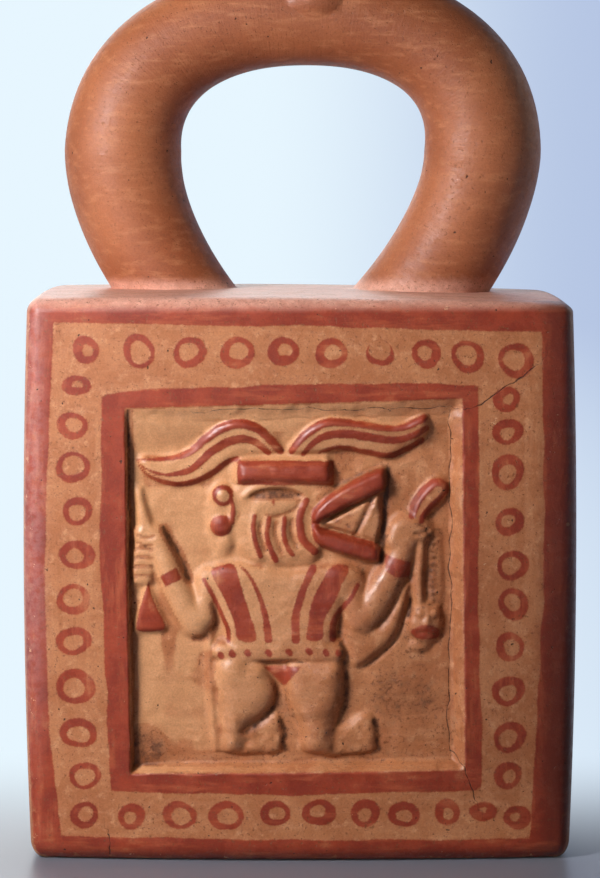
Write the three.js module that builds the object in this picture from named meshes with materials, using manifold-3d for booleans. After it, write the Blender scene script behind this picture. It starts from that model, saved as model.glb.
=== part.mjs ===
// Stirrup spout vessel: a fired-clay bottle with a box-shaped body. The front wall carries a sunken
// panel with a raised figure, and a hollow stirrup handle on top carries one spout.
// Millimetres. +Z is up and the panel faces -Y. The origin is the centre of the underside.

import * as THREE from 'three';
import { mergeVertices } from 'three/addons/utils/BufferGeometryUtils.js';
import Module from 'manifold-3d';

// Body
const HALF_WIDTH = 61.5;
const HALF_DEPTH = 45;
const BODY_HEIGHT = 126;
const EDGE_RADIUS = 4;
const WALL = 5;
const FRONT_BOW = 3.2; // how far the front and back walls fall away at their side edges
const SIDE_BOW = 1.2; // how far the side walls fall in at the bottom and the top
const TOP_BOW = 1.6; // how far the domed top falls away at its edges
const UPRIGHT_SHARE = 0.35; // share of the front wall's bow that also shows from bottom to top
const DEPTH_SHARE = 0.2; // share of the side walls' bow that also shows from front to back

// Sunken panel, as edges at the front and at the panel floor
const PANEL_LEFT = -38.4;
const PANEL_RIGHT = 36;
const PANEL_BOTTOM = 20.8;
const PANEL_TOP = 102.6;
const PANEL_DRAFT = 2.2; // each side wall leans in by this much
const PANEL_DEPTH = 3.6;
const FLOOR_Y = -(HALF_DEPTH - PANEL_DEPTH);
const CLEARANCE = 15; // how far the block that cuts the panel reaches out in front

// Raised work, as heights over the panel floor
const LOW_RELIEF = 1.8;
const MIDDLE_RELIEF = 2.5;
const HIGH_RELIEF = 3.1;
const LIMB_FLATNESS = 0.54; // a limb rises this share of its radius
const SUNK = 1; // each raised piece starts this far under the panel floor
const SOFT_EDGE = 1.2;
const SHARP_EDGE = 0.7;

// Stirrup handle: the axis of the hollow tube, measured up from the body's top
const TUBE_RADIUS = 12.8;
const BORE_RADIUS = 8;
const STIRRUP_OFFSET = -0.1;
const STIRRUP_LEAN = 0.025; // the arch leans a little to the right as it rises
const ARCH_HALF_SPAN = 41.7;
const ARCH_RISE = 63;
const ARCH_POWER = 2.25; // 2 is an ellipse, more is squarer
const LEG_HEIGHT = 31.5;
const LEG_PINCH = 12.6; // each foot stands this much closer in than the widest place
const LEG_CURVE = 1.78;
const LEG_ROOT = -12; // the tube's ends lie this far under the top

// Spout
const SPOUT_OFFSET = 3.4; // it stands further right than the arch under it
const SPOUT_TOP = 252;
const SPOUT_BASE_RADIUS = 12.6;
const SPOUT_NECK_RADIUS = 10.6;
const SPOUT_LIP_RADIUS = 11;
const SPOUT_BORE_TOP = 6.8;
const LIP_ROUND = 1.6;

// Fineness of the faceting
const TUBE_SIDES = 20;
const BORE_SIDES = 12;
const TUBE_STEPS = 30;
const ARC_STEPS = 2;
const LIMB_SIDES = 8;
const KNOB_RINGS = 5;
const RIBBON_STEPS = 7;

const wasm = await Module();
wasm.setup();

function toSolid(geometry) {
  const bare = geometry.clone();
  bare.deleteAttribute('normal');
  bare.deleteAttribute('uv');
  const merged = mergeVertices(bare, 1e-4);
  return new wasm.Manifold(new wasm.Mesh({
    numProp: 3,
    vertProperties: Float32Array.from(merged.attributes.position.array),
    triVerts: Uint32Array.from(merged.index.array),
  }));
}

function joinAll(solids) {
  return solids.reduce((whole, solid) => whole.add(solid));
}

function reshape(geometry, change) {
  const position = geometry.attributes.position;
  const point = new THREE.Vector3();
  for (let i = 0; i < position.count; i += 1) {
    point.fromBufferAttribute(position, i);
    change(point);
    position.setXYZ(i, point.x, point.y, point.z);
  }
  return geometry;
}

// The walls are gently bowed. This moves a point of a square block to its place in the bowed one.
function bow(point) {
  const u = THREE.MathUtils.clamp(point.x / HALF_WIDTH, -1, 1);
  const w = THREE.MathUtils.clamp(point.y / HALF_DEPTH, -1, 1);
  const v = THREE.MathUtils.clamp((2 * point.z) / BODY_HEIGHT - 1, -1, 1);
  const topShare = Math.max(v, 0) ** 2;
  point.x *= 1 - (SIDE_BOW / HALF_WIDTH) * (DEPTH_SHARE * w * w + v * v);
  point.y *= 1 - (FRONT_BOW / HALF_DEPTH) * (u * u + UPRIGHT_SHARE * v * v);
  point.z -= TOP_BOW * topShare * (u * u + w * w) * 0.5;
}

// Grid lines of one axis of a round-edged block: crowded into the round edges, even between them.
function gridLines(half, radius, flatSteps) {
  const flat = half - radius;
  const lines = [];
  for (let k = ARC_STEPS; k > 0; k -= 1) {
    lines.push(-flat - radius * Math.tan((Math.PI / 4) * (k / ARC_STEPS)));
  }
  for (let k = 0; k <= flatSteps; k += 1) {
    lines.push(-flat + (2 * flat * k) / flatSteps);
  }
  for (let k = 1; k <= ARC_STEPS; k += 1) {
    lines.push(flat + radius * Math.tan((Math.PI / 4) * (k / ARC_STEPS)));
  }
  return lines;
}

// A bowed block with round edges, standing from bottom to top.
function bowedBlock(halfX, halfY, bottom, top, radius, flatSteps) {
  const halfZ = (top - bottom) / 2;
  const linesX = gridLines(halfX, radius, flatSteps.x);
  const linesY = gridLines(halfY, radius, flatSteps.y);
  const linesZ = gridLines(halfZ, radius, flatSteps.z);
  const geometry = new THREE.BoxGeometry(
    linesX.length - 1, linesY.length - 1, linesZ.length - 1,
    linesX.length - 1, linesY.length - 1, linesZ.length - 1,
  );
  const inner = new THREE.Vector3(halfX - radius, halfY - radius, halfZ - radius);
  const core = new THREE.Vector3();
  return reshape(geometry, (point) => {
    point.set(
      linesX[Math.round(point.x + (linesX.length - 1) / 2)],
      linesY[Math.round(point.y + (linesY.length - 1) / 2)],
      linesZ[Math.round(point.z + (linesZ.length - 1) / 2)],
    );
    core.copy(point).clamp(inner.clone().negate(), inner);
    point.sub(core).setLength(radius).add(core);
    point.z += bottom + halfZ;
    bow(point);
  });
}

// A block that leans in from its front face to its back face, cut to the bow of the front wall.
function panelBlock(grow, draft, backY) {
  const frontY = -HALF_DEPTH - CLEARANCE;
  const geometry = new THREE.BoxGeometry(1, 1, 1, 8, 1, 8);
  return reshape(geometry, (point) => {
    const lean = point.y > 0 ? draft : 0;
    const left = PANEL_LEFT - grow + lean;
    const right = PANEL_RIGHT + grow - lean;
    const bottom = PANEL_BOTTOM - grow + lean;
    const top = PANEL_TOP + grow - lean;
    point.set(
      THREE.MathUtils.lerp(left, right, point.x + 0.5),
      point.y > 0 ? backY : frontY,
      THREE.MathUtils.lerp(bottom, top, point.z + 0.5),
    );
    bow(point);
  });
}

// Raised work. Every piece of it starts a little under the panel floor.

// A cushioned pad of the given height over the panel floor, from an outline in X and Z.
function pad(outline, height, round = SOFT_EDGE) {
  const shape = new THREE.Shape(outline.map(([x, z]) => new THREE.Vector2(x, z)));
  const edge = Math.min(round, height * 0.6);
  const geometry = new THREE.ExtrudeGeometry(shape, {
    depth: height + SUNK - edge,
    bevelEnabled: true,
    bevelThickness: edge,
    bevelSize: edge,
    bevelOffset: -edge,
    bevelSegments: 1,
    curveSegments: 4,
  });
  geometry.rotateX(Math.PI / 2);
  geometry.translate(0, FLOOR_Y + SUNK, 0);
  return reshape(geometry, bow);
}

// A band of changing width along a smooth middle line.
function ribbon(middle, startWidth, endWidth, height, round = SOFT_EDGE) {
  const line = new THREE.SplineCurve(middle.map(([x, z]) => new THREE.Vector2(x, z)));
  const nearSide = [];
  const farSide = [];
  for (let k = 0; k <= RIBBON_STEPS; k += 1) {
    const t = k / RIBBON_STEPS;
    const place = line.getPoint(t);
    const along = line.getTangent(t);
    const half = THREE.MathUtils.lerp(startWidth, endWidth, t) / 2;
    nearSide.push([place.x - along.y * half, place.y + along.x * half]);
    farSide.unshift([place.x + along.y * half, place.y - along.x * half]);
  }
  return pad([...farSide, ...nearSide], height, round);
}

// A half-sunk ball or egg.
function knob(x, z, radiusX, radiusZ, height) {
  const geometry = new THREE.SphereGeometry(1, LIMB_SIDES, KNOB_RINGS);
  geometry.scale(radiusX, height, radiusZ);
  geometry.translate(x, FLOOR_Y, z);
  return reshape(geometry, bow);
}

// A limb through joints given as x, z and radius, each segment a cone between two balls.
function limb(joints) {
  const solids = [];
  joints.forEach(([x, z, radius], index) => {
    solids.push(toSolid(knob(x, z, radius, radius, radius * LIMB_FLATNESS)));
    if (index === 0) return;
    const [fromX, fromZ, fromRadius] = joints[index - 1];
    const span = new THREE.Vector2(x - fromX, z - fromZ);
    const cone = new THREE.CylinderGeometry(radius, fromRadius, span.length(), LIMB_SIDES, 1);
    cone.rotateX(Math.PI / 2);
    cone.rotateY(Math.atan2(span.x, span.y));
    cone.scale(1, LIMB_FLATNESS, 1);
    cone.translate((x + fromX) / 2, FLOOR_Y, (z + fromZ) / 2);
    solids.push(toSolid(reshape(cone, bow)));
  });
  return joinAll(solids);
}

function headAndHeaddress() {
  const browBar = pad([[-13.6, 84.4], [6.8, 84.4], [7.6, 87], [6.8, 89.6], [-13.6, 89.6]], HIGH_RELIEF);
  const faceOutline = [[-14.5, 84.8], [4.5, 84.8], [5.5, 77], [4.5, 68], [-8, 67], [-14.5, 73]];
  const face = pad(faceOutline, MIDDLE_RELIEF);
  const upperJaw = pad([[2.6, 80.4], [9.9, 84.4], [18.7, 88], [19.3, 83], [4.4, 75.6]], HIGH_RELIEF);
  const lowerJaw = pad([[3.6, 74.6], [17.3, 71], [17.5, 67.2], [4.6, 69.8]], HIGH_RELIEF);
  const mouth = pad([[5, 75.2], [18, 82], [18, 71.2]], LOW_RELIEF);
  const leftLine = [[-5, 91], [-12.5, 95], [-19, 92.3], [-26.5, 87], [-34.8, 89]];
  const rightLine = [[0.5, 91], [6, 95], [13, 95], [20, 93.6], [27, 97.6]];
  const leftPlume = ribbon(leftLine, 8, 3, LOW_RELIEF);
  const rightPlume = ribbon(rightLine, 7.5, 4.4, LOW_RELIEF);
  const earKnobs = [[-17.2, 81.7, 2.5], [-17.4, 74.8, 2.8], [-16.6, 70.8, 2.4]];
  return [browBar, face, upperJaw, lowerJaw, mouth, leftPlume, rightPlume]
    .concat(earKnobs.map(([x, z, radius]) => knob(x, z, radius, radius, LOW_RELIEF)))
    .map(toSolid);
}

function torsoAndLegs() {
  const chestOutline = [[-22, 64.6], [-14, 67.4], [6, 67.4], [14, 64.6], [9.5, 49], [-16.8, 49]];
  const hipsOutline = [[-18.6, 45.6], [-10, 38], [4, 38], [11, 45.6]];
  const chest = pad(chestOutline, MIDDLE_RELIEF, 2 * SOFT_EDGE);
  const belt = pad([[-18.8, 45], [10.8, 45], [10.8, 49.2], [-18.8, 49.2]], HIGH_RELIEF);
  const hips = pad(hipsOutline, MIDDLE_RELIEF, 2 * SOFT_EDGE);
  const leftLeg = limb([[-13, 42, 5.6], [-9.8, 36.6, 5.2], [-14.4, 28.6, 3.4]]);
  const rightLeg = limb([[5.2, 42, 5.8], [4.6, 35.4, 5.6], [4.4, 28.8, 3.6]]);
  const leftFoot = limb([[-14, 27.8, 4], [-5.6, 27.8, 4.4]]);
  const rightFoot = limb([[5.6, 27.8, 4], [15, 27.8, 4.4]]);
  return [chest, belt, hips].map(toSolid).concat(leftLeg, rightLeg, leftFoot, rightFoot);
}

function leftArmWithKnife() {
  const arm = limb([[-20.4, 62.6, 3.8], [-22.4, 53.4, 3.4], [-28.6, 63.6, 3.2], [-32.6, 72.4, 3.4]]);
  const fingers = limb([[-33.4, 73.5, 2.4], [-35.4, 82.5, 1.5]]);
  const handle = pad([[-37, 62.4], [-32.6, 62.4], [-32.6, 73], [-36, 73]], LOW_RELIEF, SHARP_EDGE);
  const bladeOutline = [[-35.9, 51.6], [-29.8, 51.6], [-32.6, 63.2], [-34.8, 63.2]];
  const blade = pad(bladeOutline, LOW_RELIEF, SHARP_EDGE);
  return [arm, fingers, toSolid(handle), toSolid(blade)];
}

function rightArmWithTrophy() {
  const arm = limb([[11.6, 62.6, 3.8], [14.2, 53.6, 3.6], [21.6, 66, 3.2], [25.2, 74.6, 4]]);
  const topKnot = limb([[25.4, 77.8, 2.4], [31, 84.2, 2.2]]);
  const rope = limb([[28.8, 72, 2.6], [29.2, 58.4, 2.4]]);
  const trophyHead = knob(28.7, 53.4, 4, 5.2, MIDDLE_RELIEF);
  const slingLine = [[12, 50.4], [17.4, 47.4], [21.4, 50], [24.4, 58.6], [25.6, 65]];
  const sling = ribbon(slingLine, 2.4, 2.4, LOW_RELIEF, SHARP_EDGE);
  return [arm, topKnot, rope, toSolid(trophyHead), toSolid(sling)];
}

// The axis of the stirrup, from the foot of the left leg over the arch to the foot of the right.
function stirrupAxis(legRoot) {
  const points = [];
  const legSteps = 5;
  const archSteps = 14;
  const crown = ARCH_RISE - LEG_HEIGHT;
  const legOffset = (height) => {
    const drop = Math.max(LEG_HEIGHT - height, 0) / LEG_HEIGHT;
    return ARCH_HALF_SPAN - LEG_PINCH * drop ** LEG_CURVE;
  };
  for (let k = 0; k < legSteps; k += 1) {
    const height = THREE.MathUtils.lerp(legRoot, LEG_HEIGHT, k / legSteps);
    points.push(new THREE.Vector3(-legOffset(height), 0, height));
  }
  for (let k = 0; k <= archSteps; k += 1) {
    const angle = Math.PI * (1 - k / archSteps);
    const x = Math.sign(Math.cos(angle)) * Math.abs(Math.cos(angle)) ** (2 / ARCH_POWER);
    const z = Math.abs(Math.sin(angle)) ** (2 / ARCH_POWER);
    points.push(new THREE.Vector3(ARCH_HALF_SPAN * x, 0, LEG_HEIGHT + crown * z));
  }
  for (let k = legSteps - 1; k >= 0; k -= 1) {
    points.push(new THREE.Vector3(-points[k].x, 0, points[k].z));
  }
  points.forEach((point) => {
    point.x += STIRRUP_OFFSET + STIRRUP_LEAN * point.z;
    point.z += BODY_HEIGHT;
  });
  return new THREE.CatmullRomCurve3(points, false, 'centripetal');
}

function tubeAlong(axis, radius, sides) {
  const section = new THREE.Shape();
  section.absarc(0, 0, radius, 0, 2 * Math.PI, false);
  return new THREE.ExtrudeGeometry(section, {
    steps: TUBE_STEPS,
    curveSegments: sides / 2,
    extrudePath: axis,
  });
}

// A turned solid about the spout's axis, from radius and height pairs that start on the axis.
function turned(profile, sides) {
  const points = profile.map(([radius, height]) => new THREE.Vector2(radius, height));
  const geometry = new THREE.LatheGeometry(points, sides);
  geometry.rotateX(Math.PI / 2);
  geometry.translate(SPOUT_OFFSET, 0, 0);
  return geometry;
}

function spoutOuter() {
  const foot = BODY_HEIGHT + ARCH_RISE;
  return turned([
    [0, foot],
    [SPOUT_BASE_RADIUS, foot],
    [SPOUT_BASE_RADIUS - 0.8, foot + 12],
    [SPOUT_NECK_RADIUS + 0.3, foot + 26],
    [SPOUT_NECK_RADIUS, SPOUT_TOP - 12],
    [SPOUT_LIP_RADIUS, SPOUT_TOP - 2 * LIP_ROUND],
    [SPOUT_LIP_RADIUS - 0.3, SPOUT_TOP - 0.5],
    [SPOUT_LIP_RADIUS - LIP_ROUND, SPOUT_TOP],
    [0, SPOUT_TOP],
  ], TUBE_SIDES);
}

function spoutBore() {
  const foot = BODY_HEIGHT + ARCH_RISE;
  return turned([
    [0, foot],
    [BORE_RADIUS, foot],
    [SPOUT_BORE_TOP, foot + 26],
    [SPOUT_BORE_TOP, SPOUT_TOP - LIP_ROUND],
    [SPOUT_BORE_TOP + LIP_ROUND, SPOUT_TOP + 1],
    [0, SPOUT_TOP + 1],
  ], BORE_SIDES);
}

function vesselSolid() {
  const outerSteps = { x: 6, y: 5, z: 6 };
  const innerSteps = { x: 5, y: 4, z: 5 };
  const body = toSolid(bowedBlock(HALF_WIDTH, HALF_DEPTH, 0, BODY_HEIGHT, EDGE_RADIUS, outerSteps));
  const panel = toSolid(panelBlock(0, PANEL_DRAFT, FLOOR_Y));
  const relief = joinAll([
    ...headAndHeaddress(), ...torsoAndLegs(), ...leftArmWithKnife(), ...rightArmWithTrophy(),
  ]);
  const stirrup = toSolid(tubeAlong(stirrupAxis(LEG_ROOT), TUBE_RADIUS, TUBE_SIDES));
  const shell = body.subtract(panel).add(relief).add(stirrup).add(toSolid(spoutOuter()));

  const room = toSolid(bowedBlock(
    HALF_WIDTH - WALL, HALF_DEPTH - WALL, WALL, BODY_HEIGHT - WALL, EDGE_RADIUS, innerSteps,
  ));
  const panelBack = toSolid(panelBlock(WALL - 1, 0, FLOOR_Y + WALL));
  const channel = toSolid(tubeAlong(stirrupAxis(LEG_ROOT - 4), BORE_RADIUS, BORE_SIDES));
  const hollow = room.subtract(panelBack).add(channel).add(toSolid(spoutBore()));
  return shell.subtract(hollow);
}

function toGeometry(solid) {
  const mesh = solid.getMesh();
  const geometry = new THREE.BufferGeometry();
  geometry.setAttribute('position', new THREE.BufferAttribute(mesh.vertProperties, 3));
  geometry.setIndex(new THREE.BufferAttribute(mesh.triVerts, 1));
  geometry.computeVertexNormals();
  return geometry;
}

const clay = new THREE.MeshStandardMaterial({ color: 0xb5764c, roughness: 0.5, metalness: 0 });
const vessel = new THREE.Mesh(toGeometry(vesselSolid()), clay);
vessel.name = 'vessel';

const group = new THREE.Group();
group.add(vessel);

export default group;
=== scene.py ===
"""Stirrup spout vessel: the fine surface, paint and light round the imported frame."""
import math

import bmesh
import bpy
import numpy as np
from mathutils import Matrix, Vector


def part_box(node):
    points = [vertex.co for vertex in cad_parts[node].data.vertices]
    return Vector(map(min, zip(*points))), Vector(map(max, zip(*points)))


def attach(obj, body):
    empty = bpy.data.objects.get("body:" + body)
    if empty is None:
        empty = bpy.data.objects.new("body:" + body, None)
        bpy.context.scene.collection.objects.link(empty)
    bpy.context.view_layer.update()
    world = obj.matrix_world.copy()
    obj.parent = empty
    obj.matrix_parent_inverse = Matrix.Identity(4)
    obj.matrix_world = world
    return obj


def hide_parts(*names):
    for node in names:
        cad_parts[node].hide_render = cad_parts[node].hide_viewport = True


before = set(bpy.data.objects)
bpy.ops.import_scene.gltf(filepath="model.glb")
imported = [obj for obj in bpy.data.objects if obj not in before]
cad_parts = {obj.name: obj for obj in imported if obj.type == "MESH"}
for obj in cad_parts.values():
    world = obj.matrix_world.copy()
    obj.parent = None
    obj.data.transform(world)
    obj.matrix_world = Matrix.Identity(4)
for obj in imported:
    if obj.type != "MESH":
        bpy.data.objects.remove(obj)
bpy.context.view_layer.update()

LOW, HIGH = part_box("vessel")
MM = 0.001

# ---------------------------------------------------------------- sizes, in millimetres
HALF_WIDTH = (HIGH.x - LOW.x) / 2 / MM
HALF_DEPTH = HIGH.y / MM
SPOUT_TOP = HIGH.z / MM
BODY_HEIGHT = SPOUT_TOP / 2
EDGE_RADIUS = 4.0
WALL = 5.0
BULGE = 61.6                           # half the width at its widest, before the bows
SIDE_BOW, DEPTH_BOW = 1.2, 0.25        # what the width loses toward the ends and toward the back
FRONT_BOW = 3.2
UPRIGHT_SHARE = 0.35                   # how much of the front's bow runs upright
TOP_BOW = 0.8
TOP_TILT = 0.010                       # the top falls a little to the right

PANEL_LEFT, PANEL_RIGHT = -38.6, 36.2
PANEL_BOTTOM, PANEL_TOP = 20.8, 102.4
PANEL_DEPTH = 3.6
RELIEF_SHARE = 0.70                    # the raised work is this share of its drawn heights
DRAFT_LEFT, DRAFT_RIGHT = 1.0, 2.9     # how far each wall of the panel leans in
DRAFT_BOTTOM, DRAFT_TOP = 2.2, 3.4
SHEET_X = 57.0                         # the finely divided part of the front wall
SHEET_LOW, SHEET_HIGH = 4.0, 122.0

TUBE_RADIUS = 13.4                     # at the widest place; thinner at the crown
CROWN_RADIUS = 11.6
BORE_RADIUS = 8.0
STIRRUP_OFFSET = -0.2
STIRRUP_LEAN = 0.027                   # the arch leans a little to the right as it rises
ARCH_HALF_SPAN = 41.7
ARCH_RISE = 63.0
ARCH_POWER = 2.25
LEG_HEIGHT = 31.5
LEG_PINCH = 12.6
LEG_CURVE = 1.78
LEG_ROOT = -12.0
SPOUT_OFFSET = 3.4
FAR = 60.0                             # a distance beyond everything
OUTSIDE = -5.0                         # a height that never shows


# ---------------------------------------------------------------- plane geometry, on arrays
def spline(points, steps=6, closed=False):
    """Points along a smooth curve through the given ones."""
    p = np.array(points, float)
    if closed:
        p = np.vstack([p[-1], p, p[0], p[1]])
    else:
        p = np.vstack([2 * p[0] - p[1], p, 2 * p[-1] - p[-2]])
    t = np.linspace(0, 1, steps, endpoint=False)[:, None]
    rows = []
    for a, b, c, d in zip(p[:-3], p[1:-2], p[2:-1], p[3:]):
        rows.append(0.5 * (2 * b + (c - a) * t + (2 * a - 5 * b + 4 * c - d) * t**2
                           + (3 * b - a - 3 * c + d) * t**3))
    curve = np.vstack(rows)
    return curve if closed else np.vstack([curve, p[-2]])


def to_line(x, z, points):
    """Distance to an open line, share of its length reached, and side (+1 on the left)."""
    points = np.asarray(points, float)
    best = np.full(x.shape, np.inf)
    along = np.zeros(x.shape)
    side = np.ones(x.shape)
    spans = np.hypot(*(points[1:] - points[:-1]).T)
    starts = np.concatenate([[0.0], np.cumsum(spans)])
    for index, (a, b) in enumerate(zip(points[:-1], points[1:])):
        ux, uz = b - a
        t = np.clip(((x - a[0]) * ux + (z - a[1]) * uz) / (ux * ux + uz * uz + 1e-12), 0, 1)
        gap = np.hypot(x - a[0] - t * ux, z - a[1] - t * uz)
        near = gap < best
        best = np.where(near, gap, best)
        along = np.where(near, (starts[index] + t * spans[index]) / starts[-1], along)
        side = np.where(near, np.sign(ux * (z - a[1]) - uz * (x - a[0])), side)
    return best, along, side


def to_outline(x, z, points):
    """Signed distance to a closed outline, negative inside."""
    ring = np.vstack([points, points[:1]])
    gap, _, _ = to_line(x, z, ring)
    inside = np.zeros(x.shape, bool)
    for a, b in zip(ring[:-1], ring[1:]):
        crosses = (a[1] > z) != (b[1] > z)
        slope = (b[0] - a[0]) / (b[1] - a[1] + 1e-12)
        inside ^= crosses & (x < a[0] + slope * (z - a[1]))
    return np.where(inside, -gap, gap)


def smooth_max(a, b, soft):
    overlap = np.maximum(soft - np.abs(a - b), 0) / soft
    return np.maximum(a, b) + overlap * overlap * soft / 4


def smooth_step(low, high, value):
    t = np.clip((value - low) / (high - low), 0, 1)
    return t * t * (3 - 2 * t)


def ripple(x, z, size, seed):
    """Smooth random waves between -1 and 1, about `size` millimetres across."""
    table = np.random.default_rng(seed).uniform(-1, 1, (256, 256))
    u, v = x / size + 97.3, z / size + 61.7
    iu, iv = np.floor(u).astype(int), np.floor(v).astype(int)
    fu, fv = u - iu, v - iv
    fu, fv = fu * fu * (3 - 2 * fu), fv * fv * (3 - 2 * fv)
    pick = lambda du, dv: table[(iu + du) % 256, (iv + dv) % 256]
    low = pick(0, 0) * (1 - fu) + pick(1, 0) * fu
    high = pick(0, 1) * (1 - fu) + pick(1, 1) * fu
    return low * (1 - fv) + high * fv


# ---------------------------------------------------------------- the front wall
class Carving:
    """Raised work, pressed lines, stains with painted shadow and painted light, and paint distances at
    the points of the front wall.
    """

    def __init__(self, x, z):
        self.x, self.z = x, z
        self.height = np.zeros(x.shape)   # raised work over the panel floor
        self.cut = np.zeros(x.shape)      # fine pressed lines
        self.stain_and_painted_light = np.zeros(x.shape)
        self.red = np.full(x.shape, FAR)

    def near(self, points, reach):
        low, high = np.min(points, axis=0) - reach, np.max(points, axis=0) + reach
        keep = (self.x > low[0]) & (self.x < high[0]) & (self.z > low[1]) & (self.z < high[1])
        return np.nonzero(keep)

    def pillow(self, outline, top, round_edge=1.0, soft=0.5, steps=5):
        """A raised shape with rounded shoulders."""
        points = spline(outline, steps, closed=True) if steps else np.array(outline, float)
        spot = self.near(points, 1.0)
        gap = to_outline(self.x[spot], self.z[spot], points)
        t = np.clip(-gap / round_edge, 0, 1)
        shape = np.where(gap < 0, top * np.sqrt(1 - (1 - t) ** 2), OUTSIDE)
        self.height[spot] = smooth_max(self.height[spot], shape, soft)

    def rod(self, points, radii, heights, base=0.0, soft=0.6, steps=6):
        """A round limb or cord along a line, with changing radius and height."""
        line = spline(points, steps)
        spot = self.near(line, np.max(radii) + 0.5)
        gap, along, _ = to_line(self.x[spot], self.z[spot], line)
        radius = np.interp(along, np.linspace(0, 1, len(radii)), radii)
        height = np.interp(along, np.linspace(0, 1, len(heights)), heights)
        shape = base + (height - base) * np.sqrt(1 - np.clip(gap / radius, 0, 1) ** 2)
        shape = np.where(gap < radius, shape, OUTSIDE)
        self.height[spot] = smooth_max(self.height[spot], shape, soft)

    def egg(self, centre, radii, top, base=0.0, soft=0.5):
        t = np.hypot((self.x - centre[0]) / radii[0], (self.z - centre[1]) / radii[1])
        shape = np.where(t < 1, base + (top - base) * np.sqrt(np.clip(1 - t * t, 0, 1)), OUTSIDE)
        self.height = smooth_max(self.height, shape, soft)

    def groove(self, points, width, depth, steps=5, ends=0.15, dark=0.0):
        """A pressed line that fades out at both ends and may hold dirt."""
        line = spline(points, steps)
        spot = self.near(line, 2 * width)
        gap, along, _ = to_line(self.x[spot], self.z[spot], line)
        fade = smooth_step(0, ends, along) * smooth_step(0, ends, 1 - along) if ends else 1.0
        shape = fade * np.exp(-((2 * gap / width) ** 2))
        self.cut[spot] += depth * shape
        self.stain_and_painted_light[spot] = np.maximum(self.stain_and_painted_light[spot], dark * shape)

    def shadow_and_stain(self, points, width, strength, steps=4):
        """A soft-edged darkening along a line: most are painted shadow beside the raised work, a few
        are stains.
        """
        line = spline(points, steps)
        spot = self.near(line, 2 * width)
        gap, _, _ = to_line(self.x[spot], self.z[spot], line)
        self.stain_and_painted_light[spot] = np.maximum(self.stain_and_painted_light[spot], strength * np.exp(-((2 * gap / width) ** 2)))

    def stroke(self, points, widths, steps=5):
        """A painted line with changing width."""
        line = spline(points, steps)
        spot = self.near(line, max(widths) + 3)
        gap, along, _ = to_line(self.x[spot], self.z[spot], line)
        width = np.interp(along, np.linspace(0, 1, len(widths)), widths)
        self.red[spot] = np.minimum(self.red[spot], gap - width / 2)

    def patch(self, outline, steps=4):
        """A painted area."""
        points = spline(outline, steps, closed=True) if steps else np.array(outline, float)
        spot = self.near(points, 4)
        self.red[spot] = np.minimum(self.red[spot], to_outline(self.x[spot], self.z[spot], points))


def arc(centre, radius, start, end, count, shrink=0.0):
    """Points round a centre, or along a spiral that shrinks by a step each time."""
    angles = np.linspace(start, end, count)
    return [(centre[0] + (radius - shrink * k) * math.cos(a),
             centre[1] + (radius - shrink * k) * math.sin(a)) for k, a in enumerate(angles)]


def panel_gap(x, z):
    """How deep inside the panel's rim: first in shares of each wall's lean, 0 at the rim and -1 on
    the floor, then in millimetres. The rim is a little out of square."""
    left = PANEL_LEFT + 0.9 * (z - PANEL_BOTTOM) / -80 + 0.9 - x
    right = x - PANEL_RIGHT + 0.012 * (z - PANEL_BOTTOM) - 0.5
    low = PANEL_BOTTOM - 0.2 - z + 0.012 * (x - 37)
    high = z - PANEL_TOP - 0.028 * (x + 1)
    sides = np.maximum(left / DRAFT_LEFT, right / DRAFT_RIGHT)
    ends = np.maximum(low / DRAFT_BOTTOM, high / DRAFT_TOP)
    corner = 0.6
    outer = np.hypot(np.maximum(sides + corner, 0), np.maximum(ends + corner, 0))
    inner = np.minimum(np.maximum(sides + corner, ends + corner), 0)
    return outer + inner - corner, np.maximum(np.maximum(left, right), np.maximum(low, high))


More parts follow.
